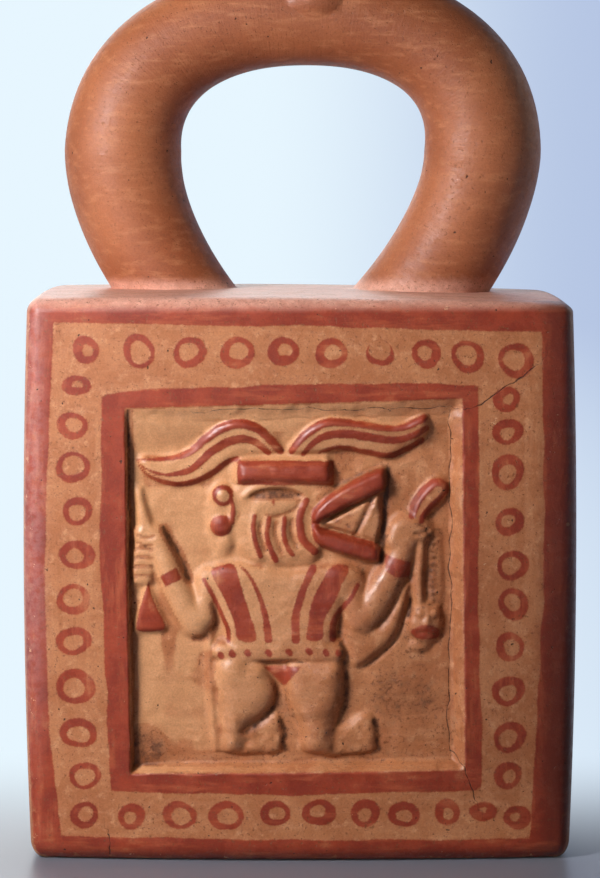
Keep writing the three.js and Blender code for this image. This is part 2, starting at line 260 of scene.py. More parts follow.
def carve_plumes(c):
    left_top = [(-35.6, 89.9), (-28.6, 90.4), (-24.2, 92.1), (-20.9, 95.2), (-17.6, 97.6),
                (-13.9, 98.6), (-9.9, 97.9), (-6.6, 95.4), (-3.8, 91.6)]
    left_low = [(-13.9, 90), (-18.7, 86.7), (-23.1, 84.4), (-27.6, 83.8), (-33, 85.6)]
    c.pillow(left_top + left_low, 2.0, 1.7)
    right_top = [(-2.2, 91.2), (0, 95.2), (4, 98.2), (7.7, 99), (13.2, 98.4), (18.7, 97.5),
                 (22.7, 97.7), (25.3, 99), (27.7, 99.7), (28.2, 97)]
    right_low = [(26, 93.6), (22, 91.1), (18.7, 89.9), (15.4, 90.8), (9.9, 91.8), (4.4, 91.2)]
    c.pillow(right_top + right_low, 2.6, 1.5)
    left = [[(-35.8, 89.6), (-28.8, 90), (-24.2, 91.4), (-20.7, 94.4), (-17.2, 96.8), (-13.6, 97.8),
             (-9.9, 97), (-6.8, 94.6), (-4.4, 91.6)],
            [(-35.7, 88.9), (-33, 87.3), (-29.1, 86.4), (-24.2, 87.5), (-20.5, 90.7), (-16.5, 93.4),
             (-12.8, 94.4), (-9.5, 93.5), (-7, 91.3)],
            [(-35.7, 88.3), (-33, 85.9), (-27.6, 84.3), (-22.7, 85.1), (-18.7, 87.2), (-16.3, 89.1),
             (-13.9, 90)]]
    for line, widths in zip(left, ([0.5, 1.2, 1.9, 2.3, 2.2, 1.9], [0.4, 1.0, 1.7, 2.1, 2.0, 1.5],
                                   [0.4, 1.2, 1.5, 1.5, 1.3])):
        c.stroke(line, widths)
    right = [[(-1.8, 91.6), (0.4, 94.6), (4.2, 97.4), (7.8, 98.2), (13.2, 97.6), (18.7, 96.8),
              (22.9, 97), (27.2, 99)],
             [(0.7, 91), (2.6, 93.2), (5.5, 95.1), (9.9, 95.6), (14.3, 95), (20.3, 94.1), (24.2, 94.9),
              (27.7, 96.7)],
             [(4.2, 91.3), (7.7, 92.4), (11, 92.2), (15.4, 91.3), (19.8, 90.6), (23.1, 91.9),
              (26.8, 94)]]
    for line, widths in zip(right, ([1.6, 2.0, 1.9, 1.6, 1.5, 1.9], [1.2, 2.0, 2.1, 1.8, 1.6],
                                    [0.7, 1.4, 1.5, 1.5, 1.6])):
        c.stroke(line, widths)
    for line in left[:2] + right[:2]:
        c.groove([(x + 0.4, z - 1.3) for x, z in line[1:]], 0.9, 0.2)


def carve_head(c):
    face = [(-14.6, 84), (-5, 85.6), (3.5, 85), (8, 82.6), (7, 77), (5, 70), (2.6, 66.4), (-3, 65.6),
            (-9.6, 66.4), (-13.6, 70), (-15, 77)]
    c.pillow(face, 1.7, 3.0)
    # the brow bar
    c.pillow([(-13.9, 85.4), (-13.1, 84.4), (-4, 84.4), (5.6, 84.2), (7, 84.9), (7.3, 87), (6.8, 89),
              (5.4, 89.5), (-4, 89.4), (-12.6, 89.6), (-13.9, 88.6)], 4.2, 2.0, steps=3)
    c.patch([(-14, 84.2), (7.4, 84), (7.6, 89.6), (-13.8, 89.7)], 0)
    c.groove([(-9, 87.2), (-7.2, 87.6), (-5.6, 86.8)], 0.7, 0.25, dark=0.4)
    # the eye: a dark half-moon under a light ridge, and the ball below it
    c.rod([(-12.4, 81.6), (-9.6, 83.5), (-5.4, 84.1), (-1.4, 83.7), (1.4, 82.2)], [0.6, 0.8, 0.6],
          [2.6, 2.9, 2.5], base=1.6)
    c.egg((-5.4, 80), (5.2, 2.7), 2.5, base=1.4)
    moon = [(-11, 81.5), (-8.6, 83), (-5, 83.5), (-1.4, 83), (0.8, 81.9), (-2, 81.1), (-5.6, 80.9),
            (-9, 81)]
    points = spline(moon, 4, closed=True)
    spot = c.near(points, 1)
    inside = smooth_step(0.5, -0.5, to_outline(c.x[spot], c.z[spot], points))
    c.cut[spot] += 0.55 * inside
    c.stain_and_painted_light[spot] = np.maximum(c.stain_and_painted_light[spot], 0.85 * inside)
    c.stroke([(-5.9, 80.7), (-5.8, 79.9)], [0.9, 0.6])
    c.groove([(0.6, 81.2), (-1.2, 79), (-4.6, 77.4), (-8.4, 77.6)], 0.6, 0.4, dark=0.5)
    # cheek stripes, with pressed lines between them
    cheek = [[(-10, 77.4), (-10.3, 75), (-9.9, 72), (-8.7, 68.4)],
             [(-6.8, 76.9), (-7.3, 73), (-6.4, 70), (-5.3, 67.5)],
             [(-3.4, 76.9), (-3.5, 73), (-2.7, 70.3), (-1.6, 68.8)],
             [(1.4, 80.8), (0.2, 78), (0, 75.2), (0.7, 72), (3.2, 69.5)]]
    for line, width in zip(cheek, (1.3, 1.4, 1.3, 1.9)):
        c.rod(line, [0.9, 1.2, 1.0], [2.2, 2.6, 2.2], base=1.4, soft=0.8)
        c.stroke(line, [0.8 * width, width, width])
    for line in ([(-8.5, 76.6), (-8.8, 73.6), (-7.4, 69)], [(-5.2, 76.6), (-5.4, 73), (-3.7, 68.8)],
                 [(-1.8, 77), (-1.9, 73.8), (-0.4, 69.6)]):
        c.groove(line, 0.7, 0.5, dark=0.75)
    # the ear ornament
    c.egg((-17, 76.4), (3.9, 8.6), 1.3)
    c.egg((-17.1, 81.8), (2.5, 2.6), 3.0)
    c.egg((-17.4, 75.2), (2.8, 2.6), 3.0)
    c.egg((-16.6, 71.2), (2.0, 2.4), 1.9)
    c.rod([(-15.2, 81.6), (-14.6, 79), (-15, 76)], [1.0, 1.1, 1.0], [2.2, 2.4, 2.2])
    c.groove(arc((-16.9, 81.9), 1.9, 0, 9.0, 16, 0.1), 0.6, 0.3, steps=2, ends=0.05)
    c.stroke(arc((-17, 81.8), 1.9, 0.4, 6.4, 11), [1.2, 1.0], steps=2)
    c.stroke([(-15.2, 81.4), (-14.7, 78.6), (-15, 75.8)], [1.0, 1.3])
    c.patch(arc((-17.4, 75.1), 2.5, 0, 5.6, 9), 2)
    c.groove([(-19, 75.6), (-17.4, 75), (-15.6, 75.4)], 0.5, 0.35, dark=0.4)


def carve_jaws(c):
    """The open jaws, a V on its side, with a toothed wedge between them."""
    c.pillow([(4.6, 75.6), (17.6, 82.4), (18.2, 76), (16.9, 71.4)], 2.6, 0.6, steps=0)
    c.pillow([(2.6, 76), (3, 78.8), (6.4, 82), (9.9, 84.2), (14.4, 86.4), (18.2, 88), (19, 86.2),
              (18.6, 83), (10.6, 79.3), (5, 76.2)], 4.4, 1.2, steps=2)
    c.pillow([(2.6, 75.8), (5, 74.4), (10.4, 73), (17, 71.2), (17.6, 69), (17, 67), (11, 68.3),
              (5.4, 70.2), (3, 72.4)], 4.3, 1.2, steps=2)
    c.patch([(2.4, 76), (2.8, 79), (6.4, 82.2), (9.9, 84.3), (14.4, 86.6), (18.4, 88), (19.2, 85.6),
             (18.6, 83), (10.4, 79), (5.4, 76.6), (4.4, 75), (10.4, 73.2), (17, 71.3), (17.7, 68.6),
             (17, 67), (11, 68.2), (5.2, 70), (3, 72)], 2)
    c.groove([(15.7, 80.6), (14.2, 77.4), (12.4, 73.6)], 1.0, 0.9, ends=0, dark=0.9)
    c.rod([(17, 81.4), (15.9, 78.4), (14.2, 75)], [0.5, 0.9, 0.8], [3.2, 3.1, 2.6], base=1.6)
    c.shadow_and_stain([(4.4, 81.4), (9.9, 84.8), (18, 88.4)], 1.4, 0.75)
    # painted shadow right of the jaws
    c.shadow_and_stain([(19.4, 87.6), (19.2, 83.2), (18.6, 76), (18.2, 70), (17.9, 67)], 1.7, 1.2)
    for point in ((8.2, 76.2), (10.4, 75), (10.8, 77.4), (12.2, 75.8)):
        c.shadow_and_stain([point, (point[0] + 0.3, point[1])], 1.0, 0.8)


def carve_torso(c):
    chest = [(-22, 63.4), (-20.6, 65.4), (-16, 66.8), (-8, 66.2), (-3, 65.2), (3, 66), (9, 66.8),
             (13, 65), (13.4, 62), (9.4, 56), (8, 50), (8, 45), (-16.6, 45), (-16.2, 50), (-18.6, 56.4)]
    c.pillow(chest, 3.0, 3.2)
    c.stroke([(-21.2, 63.2), (-19, 59.2), (-17.2, 55.2), (-15.9, 52), (-15.8, 49.4)],
             [1.0, 1.2, 1.1, 1.2, 1.1])
    c.patch([(-19.7, 65), (-17, 66.4), (-14.7, 66.6), (-13.4, 63.6), (-12.2, 59.4), (-10.6, 54.6),
             (-9.6, 49.8), (-13.6, 49.7), (-14.6, 53.6), (-17, 59.6)], 3)
    c.stroke([(-13.2, 66.2), (-11.8, 65), (-10.2, 62.4), (-8.7, 58.8), (-7.5, 54.4), (-7, 50)],
             [0.5, 0.8, 1.1, 1.3, 1.7, 2.0])
    c.stroke([(2.9, 65.8), (1.1, 62), (-0.5, 57.4), (-1, 53.6), (-0.9, 49.9)],
             [1.7, 1.7, 1.8, 2.0, 2.0])
    c.patch([(7.2, 66.4), (11, 66), (9.4, 62.4), (7.6, 58), (5.3, 54), (5.1, 50), (1.4, 50),
             (1.8, 54), (2.4, 58), (4.6, 62.6)], 3)
    c.stroke([(12.9, 62.2), (11.2, 59.2), (8.6, 56), (7.4, 53.6), (7.2, 50)],
             [1.1, 1.2, 1.4, 1.6, 1.7])
    # belt and loincloth
    c.pillow([(-17.8, 45), (-18, 48.8), (-4, 49), (8.6, 49), (8.8, 45), (-4, 44.6)], 3.1, 1.2)
    for x, z in ((-17.5, 46.3), (-15, 46.7), (-11.5, 46.9), (-6.9, 46.9), (-2.4, 47.1), (2, 47.3),
                 (5.7, 47.0), (8.6, 46.8)):
        c.stroke([(x - 0.15, z + 0.2), (x + 0.15, z - 0.2)], [1.6, 1.5])
    c.groove([(-10, 44.8), (-4, 45), (2, 44.8)], 0.7, 0.3, dark=0.8)
    c.patch([(-8.2, 43.9), (0.4, 44), (-3.6, 39.2)], 0)
    c.pillow([(-8, 43.8), (0.4, 43.8), (-3.6, 39.2)], 1.4, 1.0, steps=0)


def carve_legs(c):
    left = [(-18.4, 45.4), (-9, 45), (-6.6, 42), (-5.2, 38.4), (-6.2, 34.8), (-9.2, 31.6), (-12, 29),
            (-12.6, 25), (-16.6, 24.6), (-17.6, 30), (-18.4, 37)]
    c.pillow(left, 4.4, 4.8)
    c.egg((-14.4, 42.4), (3.4, 3.6), 4.6, base=2.4)
    right = [(-2.6, 44.4), (4, 45.2), (8.8, 45), (9.8, 41), (9.4, 36), (8.2, 32.6), (7.6, 28),
             (7.4, 24.6), (1.4, 24.6), (0.6, 29), (-0.6, 33), (-2.6, 37)]
    c.pillow(right, 4.4, 3.9)
    c.egg((3.4, 34.4), (3.6, 3.2), 4.9, base=2.6)
    # the thin ridge beside the left leg
    c.rod([(-19.9, 51), (-19.9, 44), (-19.3, 34), (-18.6, 25)], [0.8, 1.0, 0.7], [1.4, 1.7, 1.1])
    c.pillow([(-19.6, 48), (-16, 48), (-15, 24.4), (-18.6, 24.4)], 0.9, 1.2, steps=0)
    feet = [[(-15, 31), (-12, 30.4), (-8.6, 31.4), (-6, 33.2), (-4.4, 32.6), (-4, 29), (-4.2, 24.8),
             (-9, 24), (-15, 24.4)],
            [(6, 30.4), (10, 30.6), (13, 32.6), (15.6, 32.8), (16.7, 30), (16.5, 24.8), (11, 23.8),
             (5, 24)]]
    for outline, heel in zip(feet, (-4.1, 16.7)):
        c.pillow(outline, 1.9, 1.9, soft=1.2)
        # painted shadow at the end of each foot
        c.shadow_and_stain([(heel - 0.2, 31.6), (heel + 0.7, 29), (heel + 0.6, 26.6), (heel + 1, 25)], 1.9, 1.05)
    rough = smooth_step(34, 31, c.z) * smooth_step(0.3, 1.0, c.height)
    c.cut += rough * (0.22 * ripple(c.x, c.z, 1.1, 5) + 0.16 * ripple(c.x, 2 * c.z, 2.2, 6))
    # painted shadow down the right side of each thigh
    c.shadow_and_stain([(-5.2, 40), (-5.2, 36), (-8.4, 31.6), (-11.8, 29)], 1.9, 0.9)
    c.shadow_and_stain([(10, 44.6), (10.4, 40), (10, 34)], 2.0, 0.9)


def carve_left_arm(c):
    c.rod([(-20.6, 63.4), (-20.8, 59), (-21.6, 54.8)], [2.4, 2.7, 3.2], [2.6, 3.3, 3.6])
    c.rod([(-23, 53.6), (-25.6, 58), (-28, 63), (-30, 68), (-32, 72.6)],
          [3.5, 3.2, 2.8, 2.7, 2.8], [3.8, 3.8, 3.8, 3.7, 3.0])
    c.patch([(-31.1, 64), (-27.3, 66.2), (-25.9, 63.5), (-29.8, 61.4)], 0)
    c.pillow([(-36.6, 74.4), (-33.6, 75.6), (-31, 74.4), (-30.8, 70.6), (-33, 69.4), (-36, 70.4)],
             2.8, 1.8)
    for shift, lean in ((0, 0), (1.7, 0.9)):
        c.rod([(-34.4 + shift, 73.4), (-35.2 + shift - lean, 78.6), (-36 + shift - lean, 83.2)],
              [1.0, 0.8, 0.5], [2.8, 2.2, 1.4], soft=0.3)
    for line in ([(-36.6, 73.4), (-34, 72.4), (-31.6, 73.2)],
                 [(-36.6, 71.6), (-34.2, 70.8), (-32, 71)]):
        c.groove(line, 0.6, 0.4, dark=0.4)
    # painted shadow right of the forearm and under the elbow
    c.shadow_and_stain([(-30.2, 74.4), (-28.6, 71.6), (-26.6, 68.4), (-24.6, 63.2)], 1.7, 1.0)
    c.shadow_and_stain([(-19.4, 57.6), (-18.6, 54), (-20, 50.8), (-23.4, 49.9)], 1.5, 0.7)
    # the knife: a ribbed handle and a red blade
    c.pillow([(-37, 62.4), (-33, 62.2), (-32.2, 66), (-32.6, 71), (-36.6, 71)], 2.0, 1.0)
    for k in range(4):
        c.groove([(-36.9, 63.8 + 2 * k), (-35, 64.2 + 2 * k), (-32.6, 63.9 + 2 * k)], 0.7, 0.3, ends=0,
                 dark=0.6)
    blade = [(-33.8, 62.6), (-32.6, 60.4), (-31, 56.4), (-29.3, 52.9), (-30, 51.5), (-33, 51.2),
             (-36, 51.2), (-36.8, 52.5), (-35.9, 56.6), (-34.7, 60.6)]
    c.pillow(blade, 1.7, 0.9, steps=3)
    c.patch([(x + 0.45 * np.sign(-33 - x), z + 0.2) for x, z in blade], 3)


def carve_right_arm(c):
    c.rod([(12, 63.4), (12.2, 58), (13.2, 54)], [2.4, 2.9, 3.2], [2.2, 3.2, 3.4])
    c.rod([(14, 53.8), (16.8, 58), (19.4, 62.4), (21.4, 66.4), (23, 70.6)],
          [3.3, 3.7, 3.5, 3.2, 3.2], [3.5, 3.9, 4.0, 3.9, 3.6])
    c.patch([(18.6, 68.9), (24.6, 67.1), (24.2, 63.6), (21, 63.8), (18.9, 65.2)], 0)
    c.pillow([(19, 70), (20, 75.6), (23, 77.6), (27, 77), (29.6, 74.6), (28.8, 72), (25.8, 70.4),
              (24.4, 68.4)], 3.4, 2.2)
    for line in ([(26.2, 75.6), (27.6, 74.6), (28.6, 72.8)], [(25, 73.4), (27, 73.6), (29, 74.8)]):
        c.groove(line, 0.8, 0.7, ends=0.1, dark=0.9)
    # the crest above the hand
    crest = [(24.4, 77.4), (25.6, 81.2), (28, 84.2), (30.2, 85.6), (32, 85), (32.8, 83.4),
             (31.6, 81), (29.9, 79.2), (28.4, 77.6), (27.6, 75.8), (25.4, 75.6)]
    c.pillow(crest, 2.6, 1.4)
    c.stroke([(24.7, 77.4), (25.8, 80.6), (28.1, 83.4), (30.2, 84.7), (31.8, 84.1), (32.1, 82.8)],
             [1.7, 2.2, 2.3, 2.1, 1.9, 1.6])
    c.stroke([(32, 82.8), (30.5, 80.9), (28.7, 79.1), (27.3, 77.5), (26.8, 76.2)],
             [1.2, 1.4, 1.6, 1.6, 1.4])
    c.groove([(26, 77.6), (27.2, 80.2), (29, 82), (30.6, 83)], 0.8, 0.3)
    # the cord of hair, light on its left and dark on its right, and the small head
    c.rod([(26.9, 73), (26.7, 68), (26.4, 63), (26.6, 57.6)], [1.2, 1.3, 1.2], [2.7, 2.7, 2.3])
    c.rod([(29.4, 73.4), (29.8, 66), (30, 58)], [1.8, 1.9, 1.8], [1.1, 1.1, 1.0])
    c.shadow_and_stain([(28.7, 73.4), (29.1, 67), (29.4, 58.6)], 3.2, 0.85)
    for k in range(10):
        z = 72.6 - 1.6 * k
        c.groove([(27.6, z), (29.4, z - 0.5), (31.2, z)], 0.6, 0.35, ends=0.1, dark=0.35)
    c.egg((27.8, 53.6), (4.1, 5), 3.1)
    c.egg((26.6, 48.4), (2.4, 1.6), 1.5)
    for x in (26.6, 29.8):
        c.egg((x, 55.6), (1.1, 0.8), 3.5, base=2.4)
        c.groove(arc((x, 55.6), 1.2, 0, 6.28, 9), 0.5, 0.3, steps=2, ends=0, dark=0.45)
    c.rod([(28.3, 56), (28.2, 53.4)], [0.5, 0.9], [3.3, 4.1], base=2.6, soft=0.4)
    c.groove([(25.2, 51.2), (28, 51.5), (30.6, 50.7)], 0.8, 0.5, dark=0.6)
    c.patch([(24.4, 51.6), (26.6, 53), (28.8, 53.2), (31, 51.8), (30.6, 50), (27.6, 49.7),
             (25.2, 50.2)], 3)
    # painted shadow right of the small head and under its chin
    c.shadow_and_stain([(31.2, 58), (31.6, 54), (31.2, 50)], 1.6, 0.7)
    c.shadow_and_stain([(26.6, 47.2), (27.2, 46.8)], 1.1, 0.9)
    # the fold that falls from the wrist past the elbow
    c.pillow([(10.4, 52.4), (10.6, 47), (12.4, 43.4), (17.4, 46.6), (21.3, 50.8), (23.3, 57.2),
              (24.6, 62.6), (22.8, 62), (20.6, 57), (17, 52.6)], 2.0, 2.0)
    c.groove([(25, 59), (23.9, 56.4), (21.9, 50.6), (17.8, 46), (12.4, 42.7)], 0.8, 0.5, dark=0.5)
    c.groove([(24.6, 59.4), (24.4, 56.6), (24, 54)], 1.2, 1.0, dark=1.0)
    # painted shadow between the fold and the forearm, and right of the torso
    c.shadow_and_stain([(21.8, 62.4), (20.4, 57.4), (17.4, 53.4)], 1.5, 0.7)
    c.shadow_and_stain([(8.8, 55), (8.9, 50), (9.6, 46)], 1.8, 0.9)


def blurred(field, steps):
    for _ in range(steps):
        padded = np.pad(field, 1, mode="edge")
        field = (padded[:-2, 1:-1] + padded[2:, 1:-1] + padded[1:-1, :-2] + padded[1:-1, 2:]
                 + 4 * field) / 8
    return field


def worn_soft(relief):
    """Lets the raised work slope away on its upper left and rounds its edges."""
    for _ in range(6):
        spread = relief.copy()
        spread[:-1] = np.maximum(spread[:-1], relief[1:] - 0.6)
        spread[:, 1:] = np.maximum(spread[:, 1:], relief[:, :-1] - 0.6)
        relief = spread
    return blurred(relief, 3)


def carve_front(x, z):
    """Carving and paint of the whole front wall. Height 0 is the panel floor."""
    c = Carving(x, z)
    for carve in (carve_plumes, carve_torso, carve_head, carve_legs, carve_left_arm, carve_right_arm):
        carve(c)
    soft = worn_soft(c.height)
    c.height = np.zeros(x.shape)
    carve_jaws(c)
    c.height = RELIEF_SHARE * (np.maximum(soft, blurred(c.height, 2)) - blurred(c.cut, 1))
    c.height += 0.22 * ripple(x, z, 8, 1) + 0.12 * ripple(x, z, 3, 2) + 0.06 * ripple(x, 2 * z, 1.6, 4)
    base = 1.9 * smooth_step(91, 99.5, z)
    c.height += 0.7 * smooth_step(-24, -37, x) + base
    shares, plain = panel_gap(x, z)
    shares = shares + 0.10 * ripple(x, z, 5, 3) + 0.08 * ripple(x, z, 1.7, 8)
    t = np.clip(-shares, 0, 1)
    wall = base + (PANEL_DEPTH - base) * (1 - (0.6 * t + 0.4 * t * t * (3 - 2 * t)))
    c.height = smooth_max(c.height, np.where(t < 1, wall, OUTSIDE), 0.7)
    c.height = np.where(t > 0, np.minimum(c.height, PANEL_DEPTH), PANEL_DEPTH)
    # the floor is darker in patches that grow toward the right and along its foot, and stained in its
    # lower left corner; painted shadow lies along its left wall and painted light makes its upper left
    # paler
    low = c.height < 1.2
    rightward = smooth_step(-30, 20, x - 0.4 * (z - 60))
    patches = 0.62 * rightward * smooth_step(-0.1, 0.8, ripple(x, z, 7, 9))
    foot = 0.35 * smooth_step(3, 0.5, z - PANEL_BOTTOM - 2)
    corner = 0.8 * smooth_step(9, 3, np.hypot(x - PANEL_LEFT - 3, z - PANEL_BOTTOM - 3))
    # painted shadow along the left wall of the panel
    left = 0.7 * smooth_step(1.6, 0.7, x - PANEL_LEFT) + 0.35 * smooth_step(3, 1, x - PANEL_LEFT)
    floor = np.maximum(np.maximum(patches, foot), corner) * low
    dull = low * smooth_step(0, 0.6, ripple(x, z, 4, 13))
    # painted light: the floor's upper left is made paler, in broken patches
    painted_light_patch = 0.8 * smooth_step(30, -30, x - 0.5 * (z - 60)) * (1 - dull)
    c.stain_and_painted_light = np.maximum(np.maximum(c.stain_and_painted_light, floor), left)
    c.stain_and_painted_light = np.where(plain < -0.4, np.where(c.stain_and_painted_light < 0.2, c.stain_and_painted_light - painted_light_patch, c.stain_and_painted_light), 0)
    c.plain = plain
    return c


# ---------------------------------------------------------------- paint on the border
def past_edges(x, z, top, left, right, low):
    """Distance beyond four drawn edges, each through its (place, offset) points."""
    sides = np.maximum(np.interp(z, *left) - x, x - np.interp(z, *right))
    return np.maximum(sides, np.maximum(np.interp(x, *low) - z, z - np.interp(x, *top)))


def paint_border(c):
    """The outer band and the frame round the panel."""
    x, z = c.x, c.z
    band = past_edges(x, z, top=([-54, 0, 53], [119.8, 119.2, 117.8]),
                      left=([7, 28, 68, 119.5], [-53.2, -55.5, -56.4, -54.0]),
                      right=([5, 23, 46, 68, 117.8], [51.2, 52.0, 53.1, 53.9, 53.1]),
                      low=([-53, 0, 51], [5.6, 5.3, 5.1]))
    c.red = np.minimum(c.red, -band + 0.25 * ripple(x, z, 7, 11))
    frame_edge = past_edges(
        x, z, top=([-43.8, -38.3, -17.3, 9.2, 30.6, 38.3], [104.2, 105.1, 106, 106.8, 106.8, 106.4]),
        left=([15.7, 23.3, 36.7, 68, 104], [-42.0, -42.5, -42.8, -44.0, -43.8]),
        right=([16, 27.8, 59, 103], [40.3, 40.3, 39.5, 39.2]),
        low=([-42, 0, 40], [15.7, 15.2, 16.1]))
    _, rim = panel_gap(x, z)
    band = np.maximum(frame_edge + 0.25 * ripple(x, z, 6, 12), -rim - 0.2)
    c.red = np.minimum(c.red, band)


RINGS = [   # middle, and radius across and upright where they differ
    # across the top
    (-46.8, 113.9, 3.1), (-35.2, 113.6, 3.7), (-24.3, 113.6, 3.6), (-13.6, 113.6, 3.7),
    (-3.5, 113.9, 3.4), (7.0, 113.4, 3.5), (17.5, 113.7, 3.6), (27.5, 113.3, 3.3),
    (36.7, 112.7, 3.7), (47.2, 111.7, 4.0),
    # down the left
    (-49.0, 106.3, 3.1, 2.5), (-49.9, 97.4, 3.5, 3.1), (-50.0, 88.3, 3.7), (-49.1, 78.3, 3.3),
    (-49.4, 68.6, 4.2, 3.3), (-50.1, 59.0, 3.9, 3.5), (-50.1, 49.4, 4.0, 3.3),
    (-49.9, 39.2, 4.5, 4.0), (-49.1, 28.8, 4.0, 3.6), (-47.8, 19.2, 3.6, 3.2),
    (-47.8, 10.5, 3.3, 3.1),
    # along the bottom
    (-37.6, 10.1, 3.1), (-26.6, 10.5, 4.0, 3.2), (-16.2, 10.5, 3.9, 3.5), (-5.3, 11.2, 3.3, 3.1),
    (4.1, 11.5, 3.9, 3.1), (14.4, 11.0, 3.3), (23.1, 10.7, 3.5, 3.1), (32.8, 11.1, 3.0),
    (40.7, 11.5, 3.1, 2.4), (48.1, 9.9, 3.1, 2.9),
    # up the right
    (45.6, 103.1, 3.1, 2.9), (45.6, 95.8, 3.5, 3.0), (45.7, 86.9, 3.7, 4.0), (46.0, 76.2, 3.2, 3.3),
    (46.7, 66.4, 3.6, 3.5), (47.0, 58.0, 3.4, 3.7), (46.6, 48.2, 3.3), (46.1, 38.2, 3.7, 3.5),
    (46.3, 27.9, 3.6, 3.7), (46.3, 19.3, 3.2),
]


def paint_rings(x, z):
    """Signed distance to each ring's middle line, and half the width of its stroke."""
    line = np.full(x.shape, FAR)
    half = np.full(x.shape, 0.8)
    dice = np.random.default_rng(21)
    for index, (cx, cz, rx, *upright) in enumerate(RINGS):
        rz = upright[0] if upright else rx
        stroke = dice.uniform(1.35, 2.0)
        turn, wobble = dice.uniform(0, 6.28), dice.uniform(0.03, 0.08)
        dx, dz = x - cx, z - cz
        angle = np.arctan2(dz, dx)
        out = 1 + wobble * np.sin(2 * angle + turn) + 0.03 * np.sin(3 * angle + 2 * turn)
        rx, rz = (rx - stroke / 2) * out, (rz - stroke / 2) * out
        reach = np.hypot(dx / rx, dz / rz)
        gap = (reach - 1) * np.sqrt(rx * rz)
        gap = np.where(reach < 1e-6, -rx, gap)
        near = np.abs(gap) < np.abs(line)
        near &= np.hypot(dx, dz) < 8
        line = np.where(near, gap, line)
        width = stroke / 2 * (1 + 0.25 * np.sin(angle + 3 * turn))
        if index == 6:  # this one is worn away but for its lower half
            width = width * smooth_step(2.0, -2.5, dz)
        half = np.where(near, width, half)
    return line, half


CRACKS = [
    [(53.1, 111.2), (50.6, 109.6), (48.1, 107.5), (45.0, 105.9), (42.2, 103.8), (39, 101.8),
     (36.1, 101.1), (32, 101.4), (26, 100.9), (19, 101.3), (10, 100.6), (2, 101.2), (-6, 101),
     (-14, 101.2), (-23, 100)],
    [(32.6, 99.6), (33.3, 92), (32.8, 84), (33.4, 76), (33.0, 67.5), (33.5, 60), (32.9, 50),
     (33.3, 40), (32.9, 32), (33.1, 26.1), (34.6, 23.6), (36.7, 20.5), (38.0, 17), (38.9, 13.7)],
    [(-42.6, 1.5), (-42.2, 4.5), (-42.8, 6.6)],
]

FAINT = [0.10, 0.0, 0.0]  # how much each crack thins out toward its end


def find_cracks(x, z):
    gap = np.full(x.shape, FAR)
    for number, points in enumerate(CRACKS):
        jitter = np.random.default_rng(40 + number).uniform(-0.35, 0.35, (4 * len(points), 2))
        line = spline(points, 4)
        line = line + jitter[:len(line)]
        near, along, side = to_line(x, z, line)
        near = near + FAINT[number] * smooth_step(0.1, 0.4, along)
        gap = np.where(near < np.abs(gap), near * side, gap)
    return gap


# ---------------------------------------------------------------- closed meshes
def stops(*parts):
    """Grid lines from (start, end, spacing) parts that follow on one another."""
    lines = []
    for start, end, spacing in parts:
        count = max(1, round((end - start) / spacing))
        lines.extend(start + (end - start) * k / count for k in range(count))
    lines.append(parts[-1][1])
    return np.array(lines)


FINE_X = stops((-57, -41, 1.0), (-41, -36, 0.28), (-36, 32, 0.42), (32, 38, 0.3), (38, 57, 1.0))
FINE_Z = stops((4, 19, 1.0), (19, 25, 0.3), (25, 97, 0.42), (97, 106, 0.3), (106, 122, 1.0))
ROUND_STEPS = 6


def thin_out(lines, spacing):
    """Indices of a spread-out subset of the lines, with both ends."""
    kept = [0]
    for index in range(1, len(lines) - 1):
        far_enough = lines[index] - lines[kept[-1]] >= spacing
        if far_enough and lines[-1] - lines[index] >= spacing / 2:
            kept.append(index)
    return kept + [len(lines) - 1]


def with_round_ends(flat_lines, radius=EDGE_RADIUS):
    """Adds the lines of the round edges on both sides. They crowd as tan does on a quarter turn."""
    steps = [radius * math.tan(math.pi / 4 * k / ROUND_STEPS) for k in range(1, ROUND_STEPS + 1)]
    before = [flat_lines[0] - step for step in reversed(steps)]
    after = [flat_lines[-1] + step for step in steps]
    return np.array(before + list(flat_lines) + after)


def front_depth(x, z):
    """How far the bowed front wall has fallen back at a point."""
    u, v = x / HALF_WIDTH, 2 * z / BODY_HEIGHT - 1
    return FRONT_BOW * (u * u + UPRIGHT_SHARE * v * v)


def bow(p):
    """Moves points of the square block to their places in the bowed, slightly uneven one."""
    x, y, z = p.T.copy()
    u, w, v = x / HALF_WIDTH, y / HALF_DEPTH, 2 * z / BODY_HEIGHT - 1
    wide = BULGE - SIDE_BOW * v * v - DEPTH_BOW * w * w
    beyond = np.maximum(np.abs(x) - SHEET_X, 0) / (HALF_WIDTH - SHEET_X)
    x = np.where(beyond > 0, np.sign(x) * (SHEET_X + beyond * (wide - SHEET_X)), x)
    top = BODY_HEIGHT - TOP_BOW * (u * u + w * w) - TOP_TILT * x
    above = np.maximum(z - SHEET_HIGH, 0) / (BODY_HEIGHT - SHEET_HIGH)
    y = y * (1 - front_depth(x, z) / HALF_DEPTH)
    z = np.where(above > 0, SHEET_HIGH + above * (top - SHEET_HIGH), z)
    return np.stack([x, y, z], axis=1)


def rounded(x, y, z):
    """Presses lattice points of a box onto the same box with round edges."""
    p = np.stack([x, y, z], axis=1)
    half = np.array([HALF_WIDTH, HALF_DEPTH, BODY_HEIGHT / 2])
    middle = np.array([0, 0, BODY_HEIGHT / 2])
    inner = half - EDGE_RADIUS
    core = np.clip(p - middle, -inner, inner)
    away = p - middle - core
    length = np.linalg.norm(away, axis=1, keepdims=True)
    return middle + core + away / length * EDGE_RADIUS


